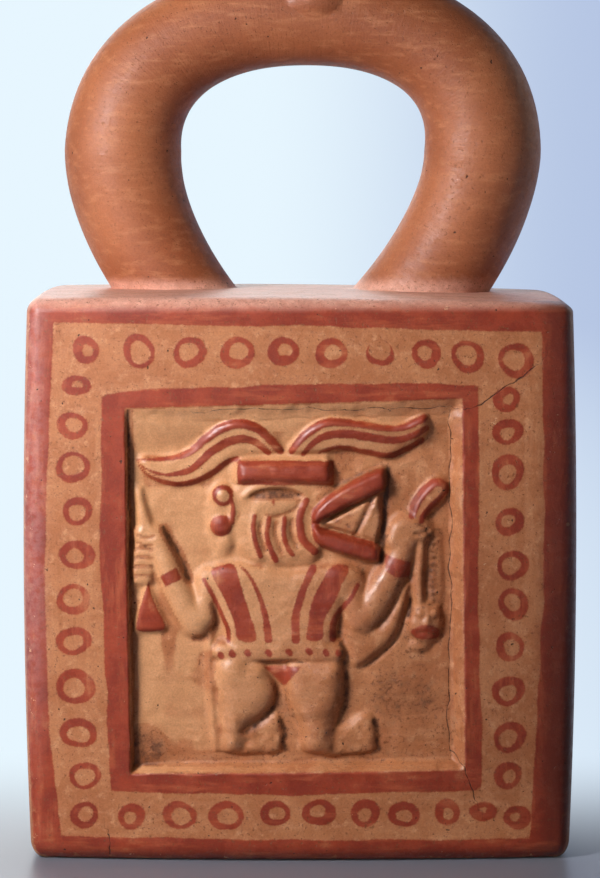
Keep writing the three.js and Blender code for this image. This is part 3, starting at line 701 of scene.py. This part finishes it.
def body_mesh(carved):
    """The block as one closed mesh: a fine front sheet sewn into a coarser shell."""
    keep_x, keep_z = thin_out(FINE_X, 4.0), thin_out(FINE_Z, 4.0)
    flat_y = np.linspace(-(HALF_DEPTH - EDGE_RADIUS), HALF_DEPTH - EDGE_RADIUS, 22)
    lx = with_round_ends(FINE_X[keep_x])
    ly = with_round_ends(flat_y)
    lz = with_round_ends(FINE_Z[keep_z])
    nx, ny, nz = len(lx), len(ly), len(lz)
    r = ROUND_STEPS
    points, ids = [], {}

    def corner(i, j, k):
        key = (i, j, k)
        if key not in ids:
            ids[key] = len(points)
            points.append((lx[i], ly[j], lz[k]))
        return ids[key]

    faces = []

    def side(count_a, count_b, place, flip, skip=None):
        for a in range(count_a - 1):
            for b in range(count_b - 1):
                if skip and skip(a, b):
                    continue
                loop = [corner(*place(a, b)), corner(*place(a + 1, b)),
                        corner(*place(a + 1, b + 1)), corner(*place(a, b + 1))]
                faces.append(loop[::-1] if flip else loop)

    in_sheet = lambda a, b: r <= a < nx - 1 - r and r <= b < nz - 1 - r
    side(nx, nz, lambda a, b: (a, 0, b), False, in_sheet)
    side(nx, nz, lambda a, b: (a, ny - 1, b), True)
    side(ny, nz, lambda a, b: (0, a, b), True)
    side(ny, nz, lambda a, b: (nx - 1, a, b), False)
    side(nx, ny, lambda a, b: (a, b, 0), True)
    side(nx, ny, lambda a, b: (a, b, nz - 1), False)
    shell = bow(rounded(*np.array(points).T))

    # the fine sheet shares its rim with the shell
    fx, fz = len(FINE_X), len(FINE_Z)
    grid_x, grid_z = np.meshgrid(FINE_X, FINE_Z, indexing="ij")
    sunk = PANEL_DEPTH - carved.height
    grid_y = -HALF_DEPTH + front_depth(grid_x, grid_z) + sunk
    sheet_ids = np.arange(fx * fz).reshape(fx, fz) + len(points)
    rim_to_shell = {}
    for a, i in enumerate(keep_x):
        for b, k in enumerate(keep_z):
            if a in (0, len(keep_x) - 1) or b in (0, len(keep_z) - 1):
                rim_to_shell[(i, k)] = ids[(a + r, 0, b + r)]
    for (i, k), shell_id in rim_to_shell.items():
        sheet_ids[i, k] = shell_id
        shell[shell_id] = (grid_x[i, k], grid_y[i, k], grid_z[i, k])
    sheet = np.stack([grid_x.ravel(), grid_y.ravel(), grid_z.ravel()], axis=1)
    quads = np.stack([sheet_ids[:-1, :-1], sheet_ids[1:, :-1], sheet_ids[1:, 1:],
                      sheet_ids[:-1, 1:]], axis=-1).reshape(-1, 4)

    # coarse faces along the rim take in the fine points of their shared edge
    between = {}
    for kept, rows in ((keep_x, sheet_ids.T[[0, -1]]), (keep_z, sheet_ids[[0, -1]])):
        for row in rows.tolist():
            for first, last in zip(kept[:-1], kept[1:]):
                between[row[first], row[last]] = row[first + 1:last]
    sewn = []
    for loop in faces:
        full = []
        for here, there in zip(loop, loop[1:] + loop[:1]):
            full.append(here)
            if (here, there) in between:
                full.extend(between[(here, there)])
            elif (there, here) in between:
                full.extend(reversed(between[(there, here)]))
        sewn.append(full)
    return np.vstack([shell, sheet]), sewn + quads.tolist()


def tidy_mesh(name, points, faces):
    """A mesh object in metres without unused points."""
    used = np.zeros(len(points), bool)
    for face in faces:
        used[face] = True
    places = np.cumsum(used) - 1
    mesh = bpy.data.meshes.new(name)
    mesh.from_pydata((points[used] * MM).tolist(), [], [places[face].tolist() for face in faces])
    mesh.validate()
    mesh.update()
    thing = bpy.data.objects.new(name, mesh)
    bpy.context.scene.collection.objects.link(thing)
    return thing


def stirrup_line(root):
    """Axis of the stirrup from one foot to the other, evenly spaced."""
    crown = ARCH_RISE - LEG_HEIGHT
    heights = np.linspace(root, LEG_HEIGHT, 40, endpoint=False)
    offset = ARCH_HALF_SPAN - LEG_PINCH * ((LEG_HEIGHT - heights) / LEG_HEIGHT) ** LEG_CURVE
    angle = np.linspace(math.pi, 0, 121)
    arch_x = ARCH_HALF_SPAN * np.sign(np.cos(angle)) * np.abs(np.cos(angle)) ** (2 / ARCH_POWER)
    arch_z = LEG_HEIGHT + crown * np.abs(np.sin(angle)) ** (2 / ARCH_POWER)
    z = np.concatenate([heights, arch_z, heights[::-1]])
    x = np.concatenate([-offset, arch_x, offset[::-1]]) + STIRRUP_OFFSET + STIRRUP_LEAN * z
    z = z + BODY_HEIGHT
    gone = np.concatenate([[0], np.cumsum(np.hypot(np.diff(x), np.diff(z)))])
    even = np.linspace(0, gone[-1], 150)
    kernel = np.array([1, 2, 3, 2, 1]) / 9
    x, z = np.interp(even, gone, x), np.interp(even, gone, z)
    x[2:-2], z[2:-2] = np.convolve(x, kernel, "valid"), np.convolve(z, kernel, "valid")
    return x, z


def swept_tube(name, root, radius_at, sides):
    """A round tube along the stirrup's axis. radius_at takes height over the body's top."""
    x, z = stirrup_line(root)
    dx, dz = np.gradient(x), np.gradient(z)
    length = np.hypot(dx, dz)
    nx, nz = -dz / length, dx / length
    turn = np.linspace(0, 2 * math.pi, sides, endpoint=False)
    points = []
    for k in range(len(x)):
        radius = radius_at(x[k], z[k] - BODY_HEIGHT, turn)
        points.append(np.stack([x[k] + nx[k] * radius * np.cos(turn), radius * np.sin(turn),
                                z[k] + nz[k] * radius * np.cos(turn)], axis=1))
    return lofted(name, points)


def lofted(name, rings):
    """A closed mesh through rings of points, capped at both ends."""
    sides, count = len(rings[0]), len(rings)
    faces = []
    for k in range(count - 1):
        for a in range(sides):
            b = (a + 1) % sides
            faces.append([k * sides + a, k * sides + b, (k + 1) * sides + b, (k + 1) * sides + a])
    faces.append(list(range(sides))[::-1])
    faces.append([(count - 1) * sides + a for a in range(sides)])
    thing = tidy_mesh(name, np.vstack(rings), faces)
    return outward(thing)


def outward(thing):
    """Turns the faces outward."""
    b = bmesh.new()
    b.from_mesh(thing.data)
    bmesh.ops.recalc_face_normals(b, faces=b.faces)
    b.to_mesh(thing.data)
    b.free()
    return thing


def turned(name, profile, sides):
    """A turned solid about the spout's axis from radius and height pairs."""
    turn = np.linspace(0, 2 * math.pi, sides, endpoint=False)
    rings = [np.stack([SPOUT_OFFSET + radius * np.cos(turn), radius * np.sin(turn),
                       np.full(sides, height)], axis=1) for radius, height in profile]
    return lofted(name, rings)


def block(name, low, high):
    """A plain closed box between two corners."""
    corners = [(x, y, z) for z in (low[2], high[2])
               for x, y in ((low[0], low[1]), (high[0], low[1]), (high[0], high[1]), (low[0], high[1]))]
    faces = [[0, 1, 2, 3], [4, 5, 6, 7], [0, 1, 5, 4], [1, 2, 6, 5], [2, 3, 7, 6], [3, 0, 4, 7]]
    return outward(tidy_mesh(name, np.array(corners, float), faces))


def combine(base, other, how):
    """Joins or cuts with another closed mesh, which is used up."""
    step = base.modifiers.new(how, "BOOLEAN")
    step.operation = how
    step.solver = "MANIFOLD"
    step.object = other
    bpy.context.view_layer.update()
    result = bpy.data.meshes.new_from_object(
        base.evaluated_get(bpy.context.evaluated_depsgraph_get()))
    base.modifiers.clear()
    base.data = result
    bpy.data.objects.remove(other)
    return base


# ---------------------------------------------------------------- the vessel's mesh
def leg_radius(x, height, turn):
    """The tube swells a little at its widest place and thins toward the crown."""
    slow = np.interp(height, [0, 22, LEG_HEIGHT, 45, 56, ARCH_RISE],
                     [TUBE_RADIUS - 0.5, TUBE_RADIUS - 0.3, TUBE_RADIUS, 12.7, 11.9, CROWN_RADIUS])
    slow = slow - (0.9 if x < 0 else 0.0) * max(0.0, 1 - height / 24)  # the left foot is thinner
    return slow + 0.12 * np.sin(2 * turn + 0.05 * height)


def build_vessel():
    grid_x, grid_z = np.meshgrid(FINE_X, FINE_Z, indexing="ij")
    carved = carve_front(grid_x, grid_z)
    points, faces = body_mesh(carved)
    vessel = tidy_mesh("painted_vessel", points, faces)
    combine(vessel, swept_tube("stirrup", LEG_ROOT, leg_radius, 72), "UNION")
    foot = BODY_HEIGHT + ARCH_RISE
    spout = [(8.0, foot - 6), (10.4, foot - 3.6), (11.5, foot - 1.4), (12.6, foot + 0.8),
             (13.0, foot + 2.8), (12.7, foot + 7), (12.1, foot + 13), (11.6, foot + 19),
             (11.0, foot + 28), (10.7, foot + 38), (10.6, SPOUT_TOP - 12), (10.75, SPOUT_TOP - 6),
             (11.0, SPOUT_TOP - 3), (11.0, SPOUT_TOP - 1.6), (10.7, SPOUT_TOP - 0.6),
             (10.1, SPOUT_TOP - 0.1), (9.4, SPOUT_TOP)]
    combine(vessel, turned("spout", spline(spout, 3), 64), "UNION")

    half_x, half_y = HALF_WIDTH - WALL - 1, HALF_DEPTH - WALL
    room = block("room", (-half_x, -half_y, WALL), (half_x, half_y, BODY_HEIGHT - WALL))
    behind = HALF_DEPTH - PANEL_DEPTH - WALL
    backing = block("backing", (-HALF_WIDTH, -HALF_DEPTH, 0), (HALF_WIDTH, -behind, BODY_HEIGHT))
    combine(room, backing, "DIFFERENCE")
    plain = lambda x, height, turn: np.full(len(turn), BORE_RADIUS)
    combine(room, swept_tube("channel", LEG_ROOT - 3, plain, 24), "UNION")
    bore = [(8, foot), (7.4, foot + 14), (6.8, foot + 26), (6.8, SPOUT_TOP - 3),
            (7.0, SPOUT_TOP - 1.6), (7.6, SPOUT_TOP - 0.6), (8.6, SPOUT_TOP), (10.0, SPOUT_TOP + 1)]
    combine(room, turned("bore", bore, 48), "UNION")
    combine(vessel, room, "DIFFERENCE")
    return vessel, carved


def lookup(values, x, z):
    """Reads a field of the fine sheet at any point of it."""
    i = np.clip(np.interp(x, FINE_X, np.arange(len(FINE_X))), 0, len(FINE_X) - 1)
    k = np.clip(np.interp(z, FINE_Z, np.arange(len(FINE_Z))), 0, len(FINE_Z) - 1)
    return values[np.rint(i).astype(int), np.rint(k).astype(int)]


def add_field(mesh, name, values):
    layer = mesh.attributes.new(name, "FLOAT", "POINT")
    layer.data.foreach_set("value", np.ascontiguousarray(values, dtype=np.float32))


vessel, carved = build_vessel()
mesh = vessel.data
places = np.empty(len(mesh.vertices) * 3)
mesh.vertices.foreach_get("co", places)
X, Y, Z = (places.reshape(-1, 3) / MM).T
heights = carved.height
hollow = np.clip((blurred(heights, 14) - heights) / 0.8, -1, 1)

on_front = (Y < -HALF_DEPTH + 12) & (Z < BODY_HEIGHT) & (Z > 0)
on_sheet = on_front & (np.abs(X) <= SHEET_X + 0.01) & (Z >= SHEET_LOW - 0.01) & (Z <= SHEET_HIGH + 0.01)


def on_sheet_only(values, elsewhere=0.0):
    """A field of the fine sheet carried to the mesh, with one value off the sheet."""
    result = np.full(len(X), elsewhere)
    result[on_sheet] = lookup(values, X[on_sheet], Z[on_sheet])
    return result


red = np.full(len(X), FAR)
border = Carving(X[on_front], Z[on_front])
paint_border(border)
red[on_front] = border.red
red = np.minimum(red, on_sheet_only(carved.red, FAR))
round_side = np.where(np.abs(X) > SHEET_X, Y + HALF_DEPTH - EDGE_RADIUS - 1.2, -FAR)
red = np.maximum(red, round_side)  # the outer band ends just round each side edge
ring_line, ring_half = paint_rings(X, Z)
ring_line = np.where(on_front, ring_line, FAR)
cracks = np.where(on_front, find_cracks(X, Z), FAR)
# the stain field also holds painted shadow, and painted light where it runs below zero
hollow_darkening, stain_and_painted_light = on_sheet_only(hollow), on_sheet_only(carved.stain_and_painted_light)
plain_clay = smooth_step(BODY_HEIGHT - 2.2, BODY_HEIGHT + 1.4, Z)
upper_edge = smooth_step(121, 124.6, Z) * (Z < BODY_HEIGHT + 1)
edge = np.maximum(smooth_step(56.6, 59.4, np.abs(X)), np.maximum(upper_edge, smooth_step(3.6, 0.6, Z)))
line_x, line_z = stirrup_line(LEG_ROOT)
tube = (Z > BODY_HEIGHT + 0.5)
run, turn = np.zeros(len(X)), np.zeros(len(X))
nearest = np.argmin((X[tube, None] - line_x) ** 2 + (Z[tube, None] - line_z) ** 2, axis=1)
tangent = np.stack([np.gradient(line_x), np.gradient(line_z)], axis=1)[nearest]
tangent /= np.linalg.norm(tangent, axis=1, keepdims=True)
ahead = (X[tube] - line_x[nearest]) * tangent[:, 0] + (Z[tube] - line_z[nearest]) * tangent[:, 1]
out = (Z[tube] - line_z[nearest]) * tangent[:, 0] - (X[tube] - line_x[nearest]) * tangent[:, 1]
run[tube] = nearest * np.hypot(line_x[1] - line_x[0], line_z[1] - line_z[0]) + ahead
turn[tube] = np.abs(np.arctan2(Y[tube], out))
top_face = smooth_step(BODY_HEIGHT - 4, BODY_HEIGHT - 1.5, Z) * smooth_step(3.0, 0.5, Z - BODY_HEIGHT)
# painted shade: the front darkens toward its lower right and strongly along its right edge
shade = 0.22 * smooth_step(10, 50, X) * smooth_step(115, 30, Z) * smooth_step(4, 20, Z)
shade = (shade + 0.65 * smooth_step(50.5, 57, X)) * on_front
# painted sheen: a pale pinkish cast on the front's left band
painted_sheen = smooth_step(-54.5, -58.5, X) * smooth_step(10, 60, Z) * (Z < BODY_HEIGHT)
polish = on_sheet_only(np.where(carved.plain < 0, smooth_step(1.2, 2.2, heights), 0.35), 0.45)
fields = {"red": red, "ring": ring_line, "ring_half": ring_half, "crack": cracks, "hollow_darkening": hollow_darkening,
          "stain_and_painted_light": stain_and_painted_light, "plain_clay": plain_clay, "edge": edge, "run": run, "turn": turn,
          "top_face": top_face, "shade": shade, "painted_sheen": painted_sheen, "polish": polish}
for name, values in fields.items():
    add_field(mesh, name, values)


# ---------------------------------------------------------------- material
def srgb(*values):
    linear = [v / 255 / 12.92 if v <= 10 else ((v / 255 + 0.055) / 1.055) ** 2.4 for v in values]
    return (*linear, 1.0)


class Nodes:
    """Short calls for making and joining shader nodes."""

    def __init__(self, name):
        self.material = bpy.data.materials.new(name)
        self.material.use_nodes = True
        self.tree = self.material.node_tree
        self.tree.nodes.clear()
        self.at = 0

    def new(self, kind, **settings):
        node = self.tree.nodes.new("ShaderNode" + kind)
        node.location = (self.at % 12 * 220, -(self.at // 12) * 260)
        self.at += 1
        for key, value in settings.items():
            setattr(node, key, value)
        return node

    def put(self, socket, value):
        if isinstance(value, bpy.types.NodeSocket):
            self.tree.links.new(value, socket)
        else:
            socket.default_value = value

    def math(self, operation, a, b=0.0, clamp=False):
        node = self.new("Math", operation=operation, use_clamp=clamp)
        self.put(node.inputs[0], a)
        self.put(node.inputs[1], b)
        return node.outputs[0]

    def plus(self, a, b, clamp=False):
        return self.math("ADD", a, b, clamp)

    def minus(self, a, b):
        return self.math("SUBTRACT", a, b)

    def times(self, a, b):
        return self.math("MULTIPLY", a, b)

    def larger(self, a, b):
        return self.math("MAXIMUM", a, b)

    def ramp(self, value, low, high, to_low=0.0, to_high=1.0):
        node = self.new("MapRange", interpolation_type="SMOOTHSTEP", clamp=True)
        self.put(node.inputs["Value"], value)
        for key, number in (("From Min", low), ("From Max", high), ("To Min", to_low),
                            ("To Max", to_high)):
            self.put(node.inputs[key], number)
        return node.outputs["Result"]

    def field(self, name):
        return self.new("Attribute", attribute_name=name).outputs["Fac"]

    def place(self, stretch=(1, 1, 1)):
        node = self.new("Mapping")
        self.put(node.inputs["Vector"], self.new("TexCoord").outputs["Object"])
        node.inputs["Scale"].default_value = stretch
        return node.outputs["Vector"]

    def noise(self, size, detail=3.0, rough=0.55, stretch=(1, 1, 1)):
        """Noise with features about `size` millimetres across, between 0 and 1."""
        node = self.new("TexNoise")
        self.put(node.inputs["Vector"], self.place(stretch))
        node.inputs["Scale"].default_value = 1 / (size * MM)
        node.inputs["Detail"].default_value = detail
        node.inputs["Roughness"].default_value = rough
        return node.outputs["Fac"]

    def upright_share(self):
        """1 on the side bands of the front, 0 on its top and bottom bands."""
        parts = self.new("SeparateXYZ")
        self.put(parts.inputs[0], self.place())
        across = self.math("DIVIDE", self.math("ABSOLUTE", parts.outputs[0]), HALF_WIDTH * MM)
        middle = BODY_HEIGHT / 2 * MM
        upward = self.math("ABSOLUTE", self.minus(parts.outputs[2], middle))
        return self.ramp(self.minus(across, self.math("DIVIDE", upward, middle)), -0.05, 0.05)

    def marks(self):
        """Fine noise drawn out round the stirrup's tube."""
        vector = self.new("CombineXYZ")
        self.put(vector.inputs[0], self.times(self.field("run"), 1.3))
        self.put(vector.inputs[1], self.times(self.field("turn"), 1.1))
        node = self.new("TexNoise")
        self.put(node.inputs["Vector"], vector.outputs[0])
        node.inputs["Scale"].default_value = 1.0
        node.inputs["Detail"].default_value = 3.0
        return node.outputs["Fac"]

    def mix(self, share, a, b, how="MIX"):
        node = self.new("Mix", data_type="RGBA", blend_type=how)
        self.put(node.inputs[0], share)
        self.put(node.inputs[6], a)
        self.put(node.inputs[7], b)
        return node.outputs[2]

    def finish(self, surface):
        out = self.new("OutputMaterial")
        self.tree.links.new(surface, out.inputs["Surface"])
        return self.material


CREAM = srgb(190, 122, 78)
CREAM_PALE = srgb(208, 146, 102)
CREAM_DARK = srgb(176, 106, 64)
CREAM_PAINTED_LIGHT = srgb(230, 170, 118)
RED = srgb(162, 62, 32)
RED_DARK = srgb(138, 45, 20)
RED_PALE = srgb(182, 88, 52)
CLAY = srgb(170, 99, 60)
CLAY_DARK = srgb(148, 80, 45)
CLAY_PALE = srgb(188, 120, 80)
TOP_PAINTED_SHEEN = srgb(222, 164, 142)
STAIN_AND_SHADOW = srgb(128, 70, 34)
STAIN_AND_SHADOW_DARK = srgb(72, 36, 17)
SHADE = srgb(82, 26, 8)
PAINTED_SHEEN = srgb(188, 140, 138)
DIRT = srgb(58, 28, 13)
CHIP = srgb(212, 160, 118)


def clay_colour(n, broad, blotch, mottle, grain, rubbed):
    """Cream slip, red paint and plain clay, with how much of each lies at a point."""
    streaks = n.mix(n.upright_share(), n.noise(2.2, 3.0, 0.6, (0.16, 1, 1)),
                    n.noise(2.2, 3.0, 0.6, (1, 1, 0.16)))
    cream = n.mix(n.ramp(blotch, 0.36, 0.66), CREAM_DARK, CREAM)
    cream = n.mix(n.ramp(mottle, 0.5, 0.78), cream, CREAM_PALE)
    cream = n.mix(n.ramp(streaks, 0.5, 0.75, 0.0, 0.4), cream, CREAM_PALE)
    # painted light: where the field runs below zero, at the panel's upper left, the cream is made paler
    cream = n.mix(n.ramp(n.field("stain_and_painted_light"), -0.9, 0.0, 0.6, 0.0), cream, CREAM_PAINTED_LIGHT)
    red = n.mix(n.ramp(blotch, 0.34, 0.68), RED_DARK, RED)
    red = n.mix(n.ramp(streaks, 0.48, 0.72, 0.0, 0.7), red, RED_PALE)
    clay = n.mix(n.ramp(broad, 0.35, 0.68), CLAY_DARK, CLAY)
    clay = n.mix(n.ramp(rubbed, 0.46, 0.74, 0.0, 0.6), clay, CLAY_PALE)

    # paint edges wander with the brush and the grain
    wander = n.times(n.minus(mottle, 0.5), 0.7)
    wander = n.plus(wander, n.times(n.minus(grain, 0.5), 0.3))
    band = n.plus(n.field("red"), wander)
    ring = n.minus(n.math("ABSOLUTE", n.field("ring")), n.field("ring_half"))
    paint = n.math("MINIMUM", band, n.plus(ring, wander))
    painted = n.ramp(paint, -0.30, 0.18, 1.0, 0.0)
    thin = n.ramp(n.plus(blotch, n.times(streaks, 0.5)), 0.84, 1.04)
    painted = n.times(painted, n.minus(1.0, n.times(thin, 0.4)))
    colour = n.mix(painted, cream, red)

    # rubbed edges and chips that lay the pale clay bare
    edge = n.field("edge")
    wear = n.plus(n.times(edge, 0.22), n.times(mottle, 0.75))
    colour = n.mix(n.ramp(wear, 0.60, 0.76, 0.0, 0.7), colour, CLAY_PALE)
    chip = n.plus(n.noise(3.4, 4.0, 0.7), n.times(edge, 0.07))
    chipped = n.ramp(chip, 0.72, 0.745)
    colour = n.mix(chipped, colour, CHIP)
    colour = n.mix(n.field("plain_clay"), colour, clay)
    # painted sheen: the top face is made paler and pinker
    colour = n.mix(n.times(n.field("top_face"), n.ramp(mottle, 0.2, 0.7, 0.55, 1.0)),
                   colour, TOP_PAINTED_SHEEN)
    return colour, painted, chipped


def clay_material():
    n = Nodes("painted clay")
    broad = n.noise(26, 2.0)
    blotch = n.noise(6.5, 4.0, 0.6)
    mottle = n.noise(1.9, 4.0, 0.65)
    grain = n.noise(0.42, 2.0, 0.6)
    rubbed = n.noise(2.4, 3.0, 0.6, (0.35, 1, 1.6))
    colour, painted, chipped = clay_colour(n, broad, blotch, mottle, grain, rubbed)

    # stains and painted shadow on the panel floor, darkening in hollows, pits and cracks
    stain_and_painted_light = n.field("stain_and_painted_light")
    cloud = n.plus(stain_and_painted_light, n.times(n.minus(mottle, 0.5), 1.5))
    colour = n.mix(n.ramp(cloud, 0.25, 0.95, 0.0, 0.55), colour, STAIN_AND_SHADOW)
    freckle = n.plus(n.noise(0.75, 3.0, 0.7), n.times(stain_and_painted_light, 0.10))
    colour = n.mix(n.ramp(freckle, 0.57, 0.70, 0.0, 0.75), colour, STAIN_AND_SHADOW)
    hollow_darkening = n.plus(n.field("hollow_darkening"), n.times(n.minus(mottle, 0.5), 0.6))
    dark_stain_and_shadow = n.larger(n.ramp(hollow_darkening, 0.5, 1.2, 0.0, 0.5), n.ramp(cloud, 0.65, 1.15, 0.0, 0.85))
    colour = n.mix(dark_stain_and_shadow, colour, STAIN_AND_SHADOW_DARK)
    pit = n.plus(n.noise(1.1, 1.0, 0.4), n.times(blotch, 0.25))
    pit = n.ramp(pit, 0.90, 0.94, 0.0, 0.85)
    crack_gap = n.plus(n.math("ABSOLUTE", n.field("crack")),
                       n.times(n.minus(mottle, 0.5), 0.5))
    crack = n.ramp(crack_gap, 0.02, 0.13, 0.85, 0.0)
    # painted shade on the front's lower right and right edge
    colour = n.mix(n.field("shade"), colour, SHADE)
    # painted sheen on the front's left band
    painted_sheen = n.times(n.field("painted_sheen"), n.ramp(mottle, 0.3, 0.6, 0.08, 0.34))
    colour = n.mix(painted_sheen, colour, PAINTED_SHEEN)
    dark = n.larger(pit, crack)
    colour = n.mix(dark, colour, DIRT)
    speck = n.ramp(grain, 0.38, 0.62, 0.92, 1.05)
    tint = n.new("CombineColor")
    for socket in tint.inputs[:3]:
        n.put(socket, speck)
    colour = n.mix(1.0, colour, tint.outputs[0], "MULTIPLY")

    # fine marks run round the stirrup's tube
    plain = n.field("plain_clay")
    marks = n.marks()
    height = n.times(grain, 0.045)
    height = n.plus(height, n.times(mottle, 0.14))
    height = n.minus(height, n.times(n.ramp(freckle, 0.58, 0.72), 0.06))
    height = n.plus(height, n.times(painted, 0.03))
    height = n.plus(height, n.times(marks, n.times(plain, 0.10)))
    height = n.minus(height, n.times(chipped, 0.10))
    height = n.minus(height, n.times(dark, 0.18))
    bump = n.new("Bump")
    bump.inputs["Strength"].default_value = 0.8
    bump.inputs["Distance"].default_value = MM
    n.put(bump.inputs["Height"], height)

    rough = n.plus(n.ramp(mottle, 0.3, 0.75, 0.42, 0.60), n.times(dark, 0.25))
    rough = n.plus(rough, n.times(plain, 0.08), clamp=True)
    gloss = n.ramp(n.plus(rubbed, dark_stain_and_shadow), 0.40, 0.66, 0.6, 0.06)
    gloss = n.times(gloss, n.field("polish"))
    gloss = n.times(gloss, n.minus(1.0, n.times(plain, 0.65)))
    shader = n.new("BsdfPrincipled")
    n.put(shader.inputs["Base Color"], colour)
    n.put(shader.inputs["Roughness"], rough)
    n.put(shader.inputs["Coat Weight"], gloss)
    n.put(shader.inputs["Coat Roughness"], n.ramp(blotch, 0.3, 0.7, 0.20, 0.36))
    n.put(shader.inputs["Normal"], bump.outputs["Normal"])
    n.put(shader.inputs["Coat Normal"], bump.outputs["Normal"])
    return n.finish(shader.outputs["BSDF"])


mesh.materials.clear()
mesh.materials.append(clay_material())
mesh.polygons.foreach_set("use_smooth", np.ones(len(mesh.polygons), bool))
mesh.set_sharp_from_angle(angle=math.radians(75))
vessel.name = "painted_vessel"
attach(vessel, "root")
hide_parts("vessel")


# ---------------------------------------------------------------- stage, light and camera
TABLE_SIDE, TABLE_FRONT = 0.41, 0.51      # metres from the middle to where the table fades
PALE_BLUE, GREY_BLUE, TABLE_GREY = srgb(231, 246, 255), srgb(182, 198, 228), srgb(120, 122, 132)
ROOM_LIGHT, ROOM_STRENGTH = srgb(214, 206, 200), 0.06


def glowing(n):
    """Pale blue that glows evenly, lighter on the left, and how far a point is from the table."""
    parts = n.new("SeparateXYZ")
    n.put(parts.inputs[0], n.new("TexCoord").outputs["Object"])
    x, y, _ = parts.outputs
    glow = n.new("Emission")
    n.put(glow.inputs["Color"], n.mix(n.ramp(x, -0.06, 0.31), PALE_BLUE, GREY_BLUE))
    sideways = n.minus(n.math("ABSOLUTE", x), TABLE_SIDE)
    forward = n.minus(n.times(y, -1.0), TABLE_FRONT)
    return glow.outputs["Emission"], n.larger(y, n.larger(sideways, forward))


def backdrop_material():
    n = Nodes("backdrop")
    return n.finish(glowing(n)[0])


def floor_material():
    """Smooth blue-grey near the vessel, fading into the backdrop behind it."""
    n = Nodes("floor")
    glow, outward = glowing(n)
    table = n.new("BsdfPrincipled")
    table.inputs["Base Color"].default_value = TABLE_GREY
    table.inputs["Roughness"].default_value = 0.38
    blend = n.new("MixShader")
    n.put(blend.inputs[0], n.ramp(outward, -0.05, 0.09))
    n.put(blend.inputs[1], table.outputs["BSDF"])
    n.put(blend.inputs[2], glow)
    return n.finish(blend.outputs[0])


def sheet(name, corners, material):
    panel = bpy.data.meshes.new(name)
    panel.from_pydata(corners, [], [list(range(len(corners)))])
    panel.materials.append(material)
    thing = bpy.data.objects.new(name, panel)
    bpy.context.scene.collection.objects.link(thing)
    return thing


REACH, TURN_UP, NEAR, SEAM = 2.4, 0.14, 0.65, 0.02   # metres: walls, table back, table edge, overlap
sheet("floor", [(-NEAR, -NEAR, 0), (NEAR, -NEAR, 0), (NEAR, TURN_UP, 0), (-NEAR, TURN_UP, 0)],
      floor_material())
pale = backdrop_material()
corners = [(-REACH, -REACH), (REACH, -REACH), (REACH, REACH), (-REACH, REACH)]
surrounds = [sheet("far_floor", [(x, y, -0.0005) for x, y in corners], pale)]
for i, (x0, y0) in enumerate(corners):
    x1, y1 = corners[(i + 1) % 4]
    upright = [(x0, y0, -SEAM), (x1, y1, -SEAM), (x1, y1, REACH), (x0, y0, REACH)]
    wall = sheet(f"backdrop_{i}", upright, pale)
    wall.visible_glossy = i == 2
    surrounds.append(wall)
for thing in surrounds:
    thing.visible_diffuse = False

world = bpy.data.worlds.new("studio")
world.use_nodes = True
air = world.node_tree.nodes["Background"]
air.inputs["Color"].default_value = ROOM_LIGHT
air.inputs["Strength"].default_value = ROOM_STRENGTH
bpy.context.scene.world = world


def lamp(name, azimuth, elevation, distance, size, power, colour, target=(0, -0.045, 0.085)):
    """A square lamp. Azimuth is measured to the left of straight in front."""
    a, e = math.radians(azimuth), math.radians(elevation)
    spot = Vector(target) + distance * Vector((-math.sin(a) * math.cos(e),
                                               -math.cos(a) * math.cos(e), math.sin(e)))
    light = bpy.data.lights.new(name, "AREA")
    light.shape = "SQUARE"
    light.size = size
    light.energy = power
    light.color = colour
    thing = bpy.data.objects.new(name, light)
    thing.location = spot
    thing.rotation_euler = (Vector(target) - spot).to_track_quat("-Z", "Y").to_euler()
    bpy.context.scene.collection.objects.link(thing)
    return thing


lamp("key", 47, 27, 0.36, 0.10, 1.75, (0.98, 0.98, 1.0))
lamp("fill", -5, 10, 1.3, 0.8, 0.25, (1.0, 0.82, 0.62))
lamp("side", 80, 8, 0.9, 0.9, 0.6, (0.86, 0.93, 1.0))
lamp("back", 165, 28, 0.9, 0.6, 2.6, (1.0, 0.97, 0.93))
lamp("right", -118, 20, 0.9, 0.6, 1.1, (1.0, 0.88, 0.78))

PITCH = math.radians(4.97)
camera_data = bpy.data.cameras.new("camera")
camera_data.sensor_width = 36
camera_data.lens = 127.7
camera = bpy.data.objects.new("camera", camera_data)
camera.location = (0, -0.725, 0.1537)
camera.rotation_euler = (math.pi / 2 - PITCH, 0, 0)
bpy.context.scene.collection.objects.link(camera)
bpy.context.scene.camera = camera
bpy.context.scene.view_settings.view_transform = "Standard"
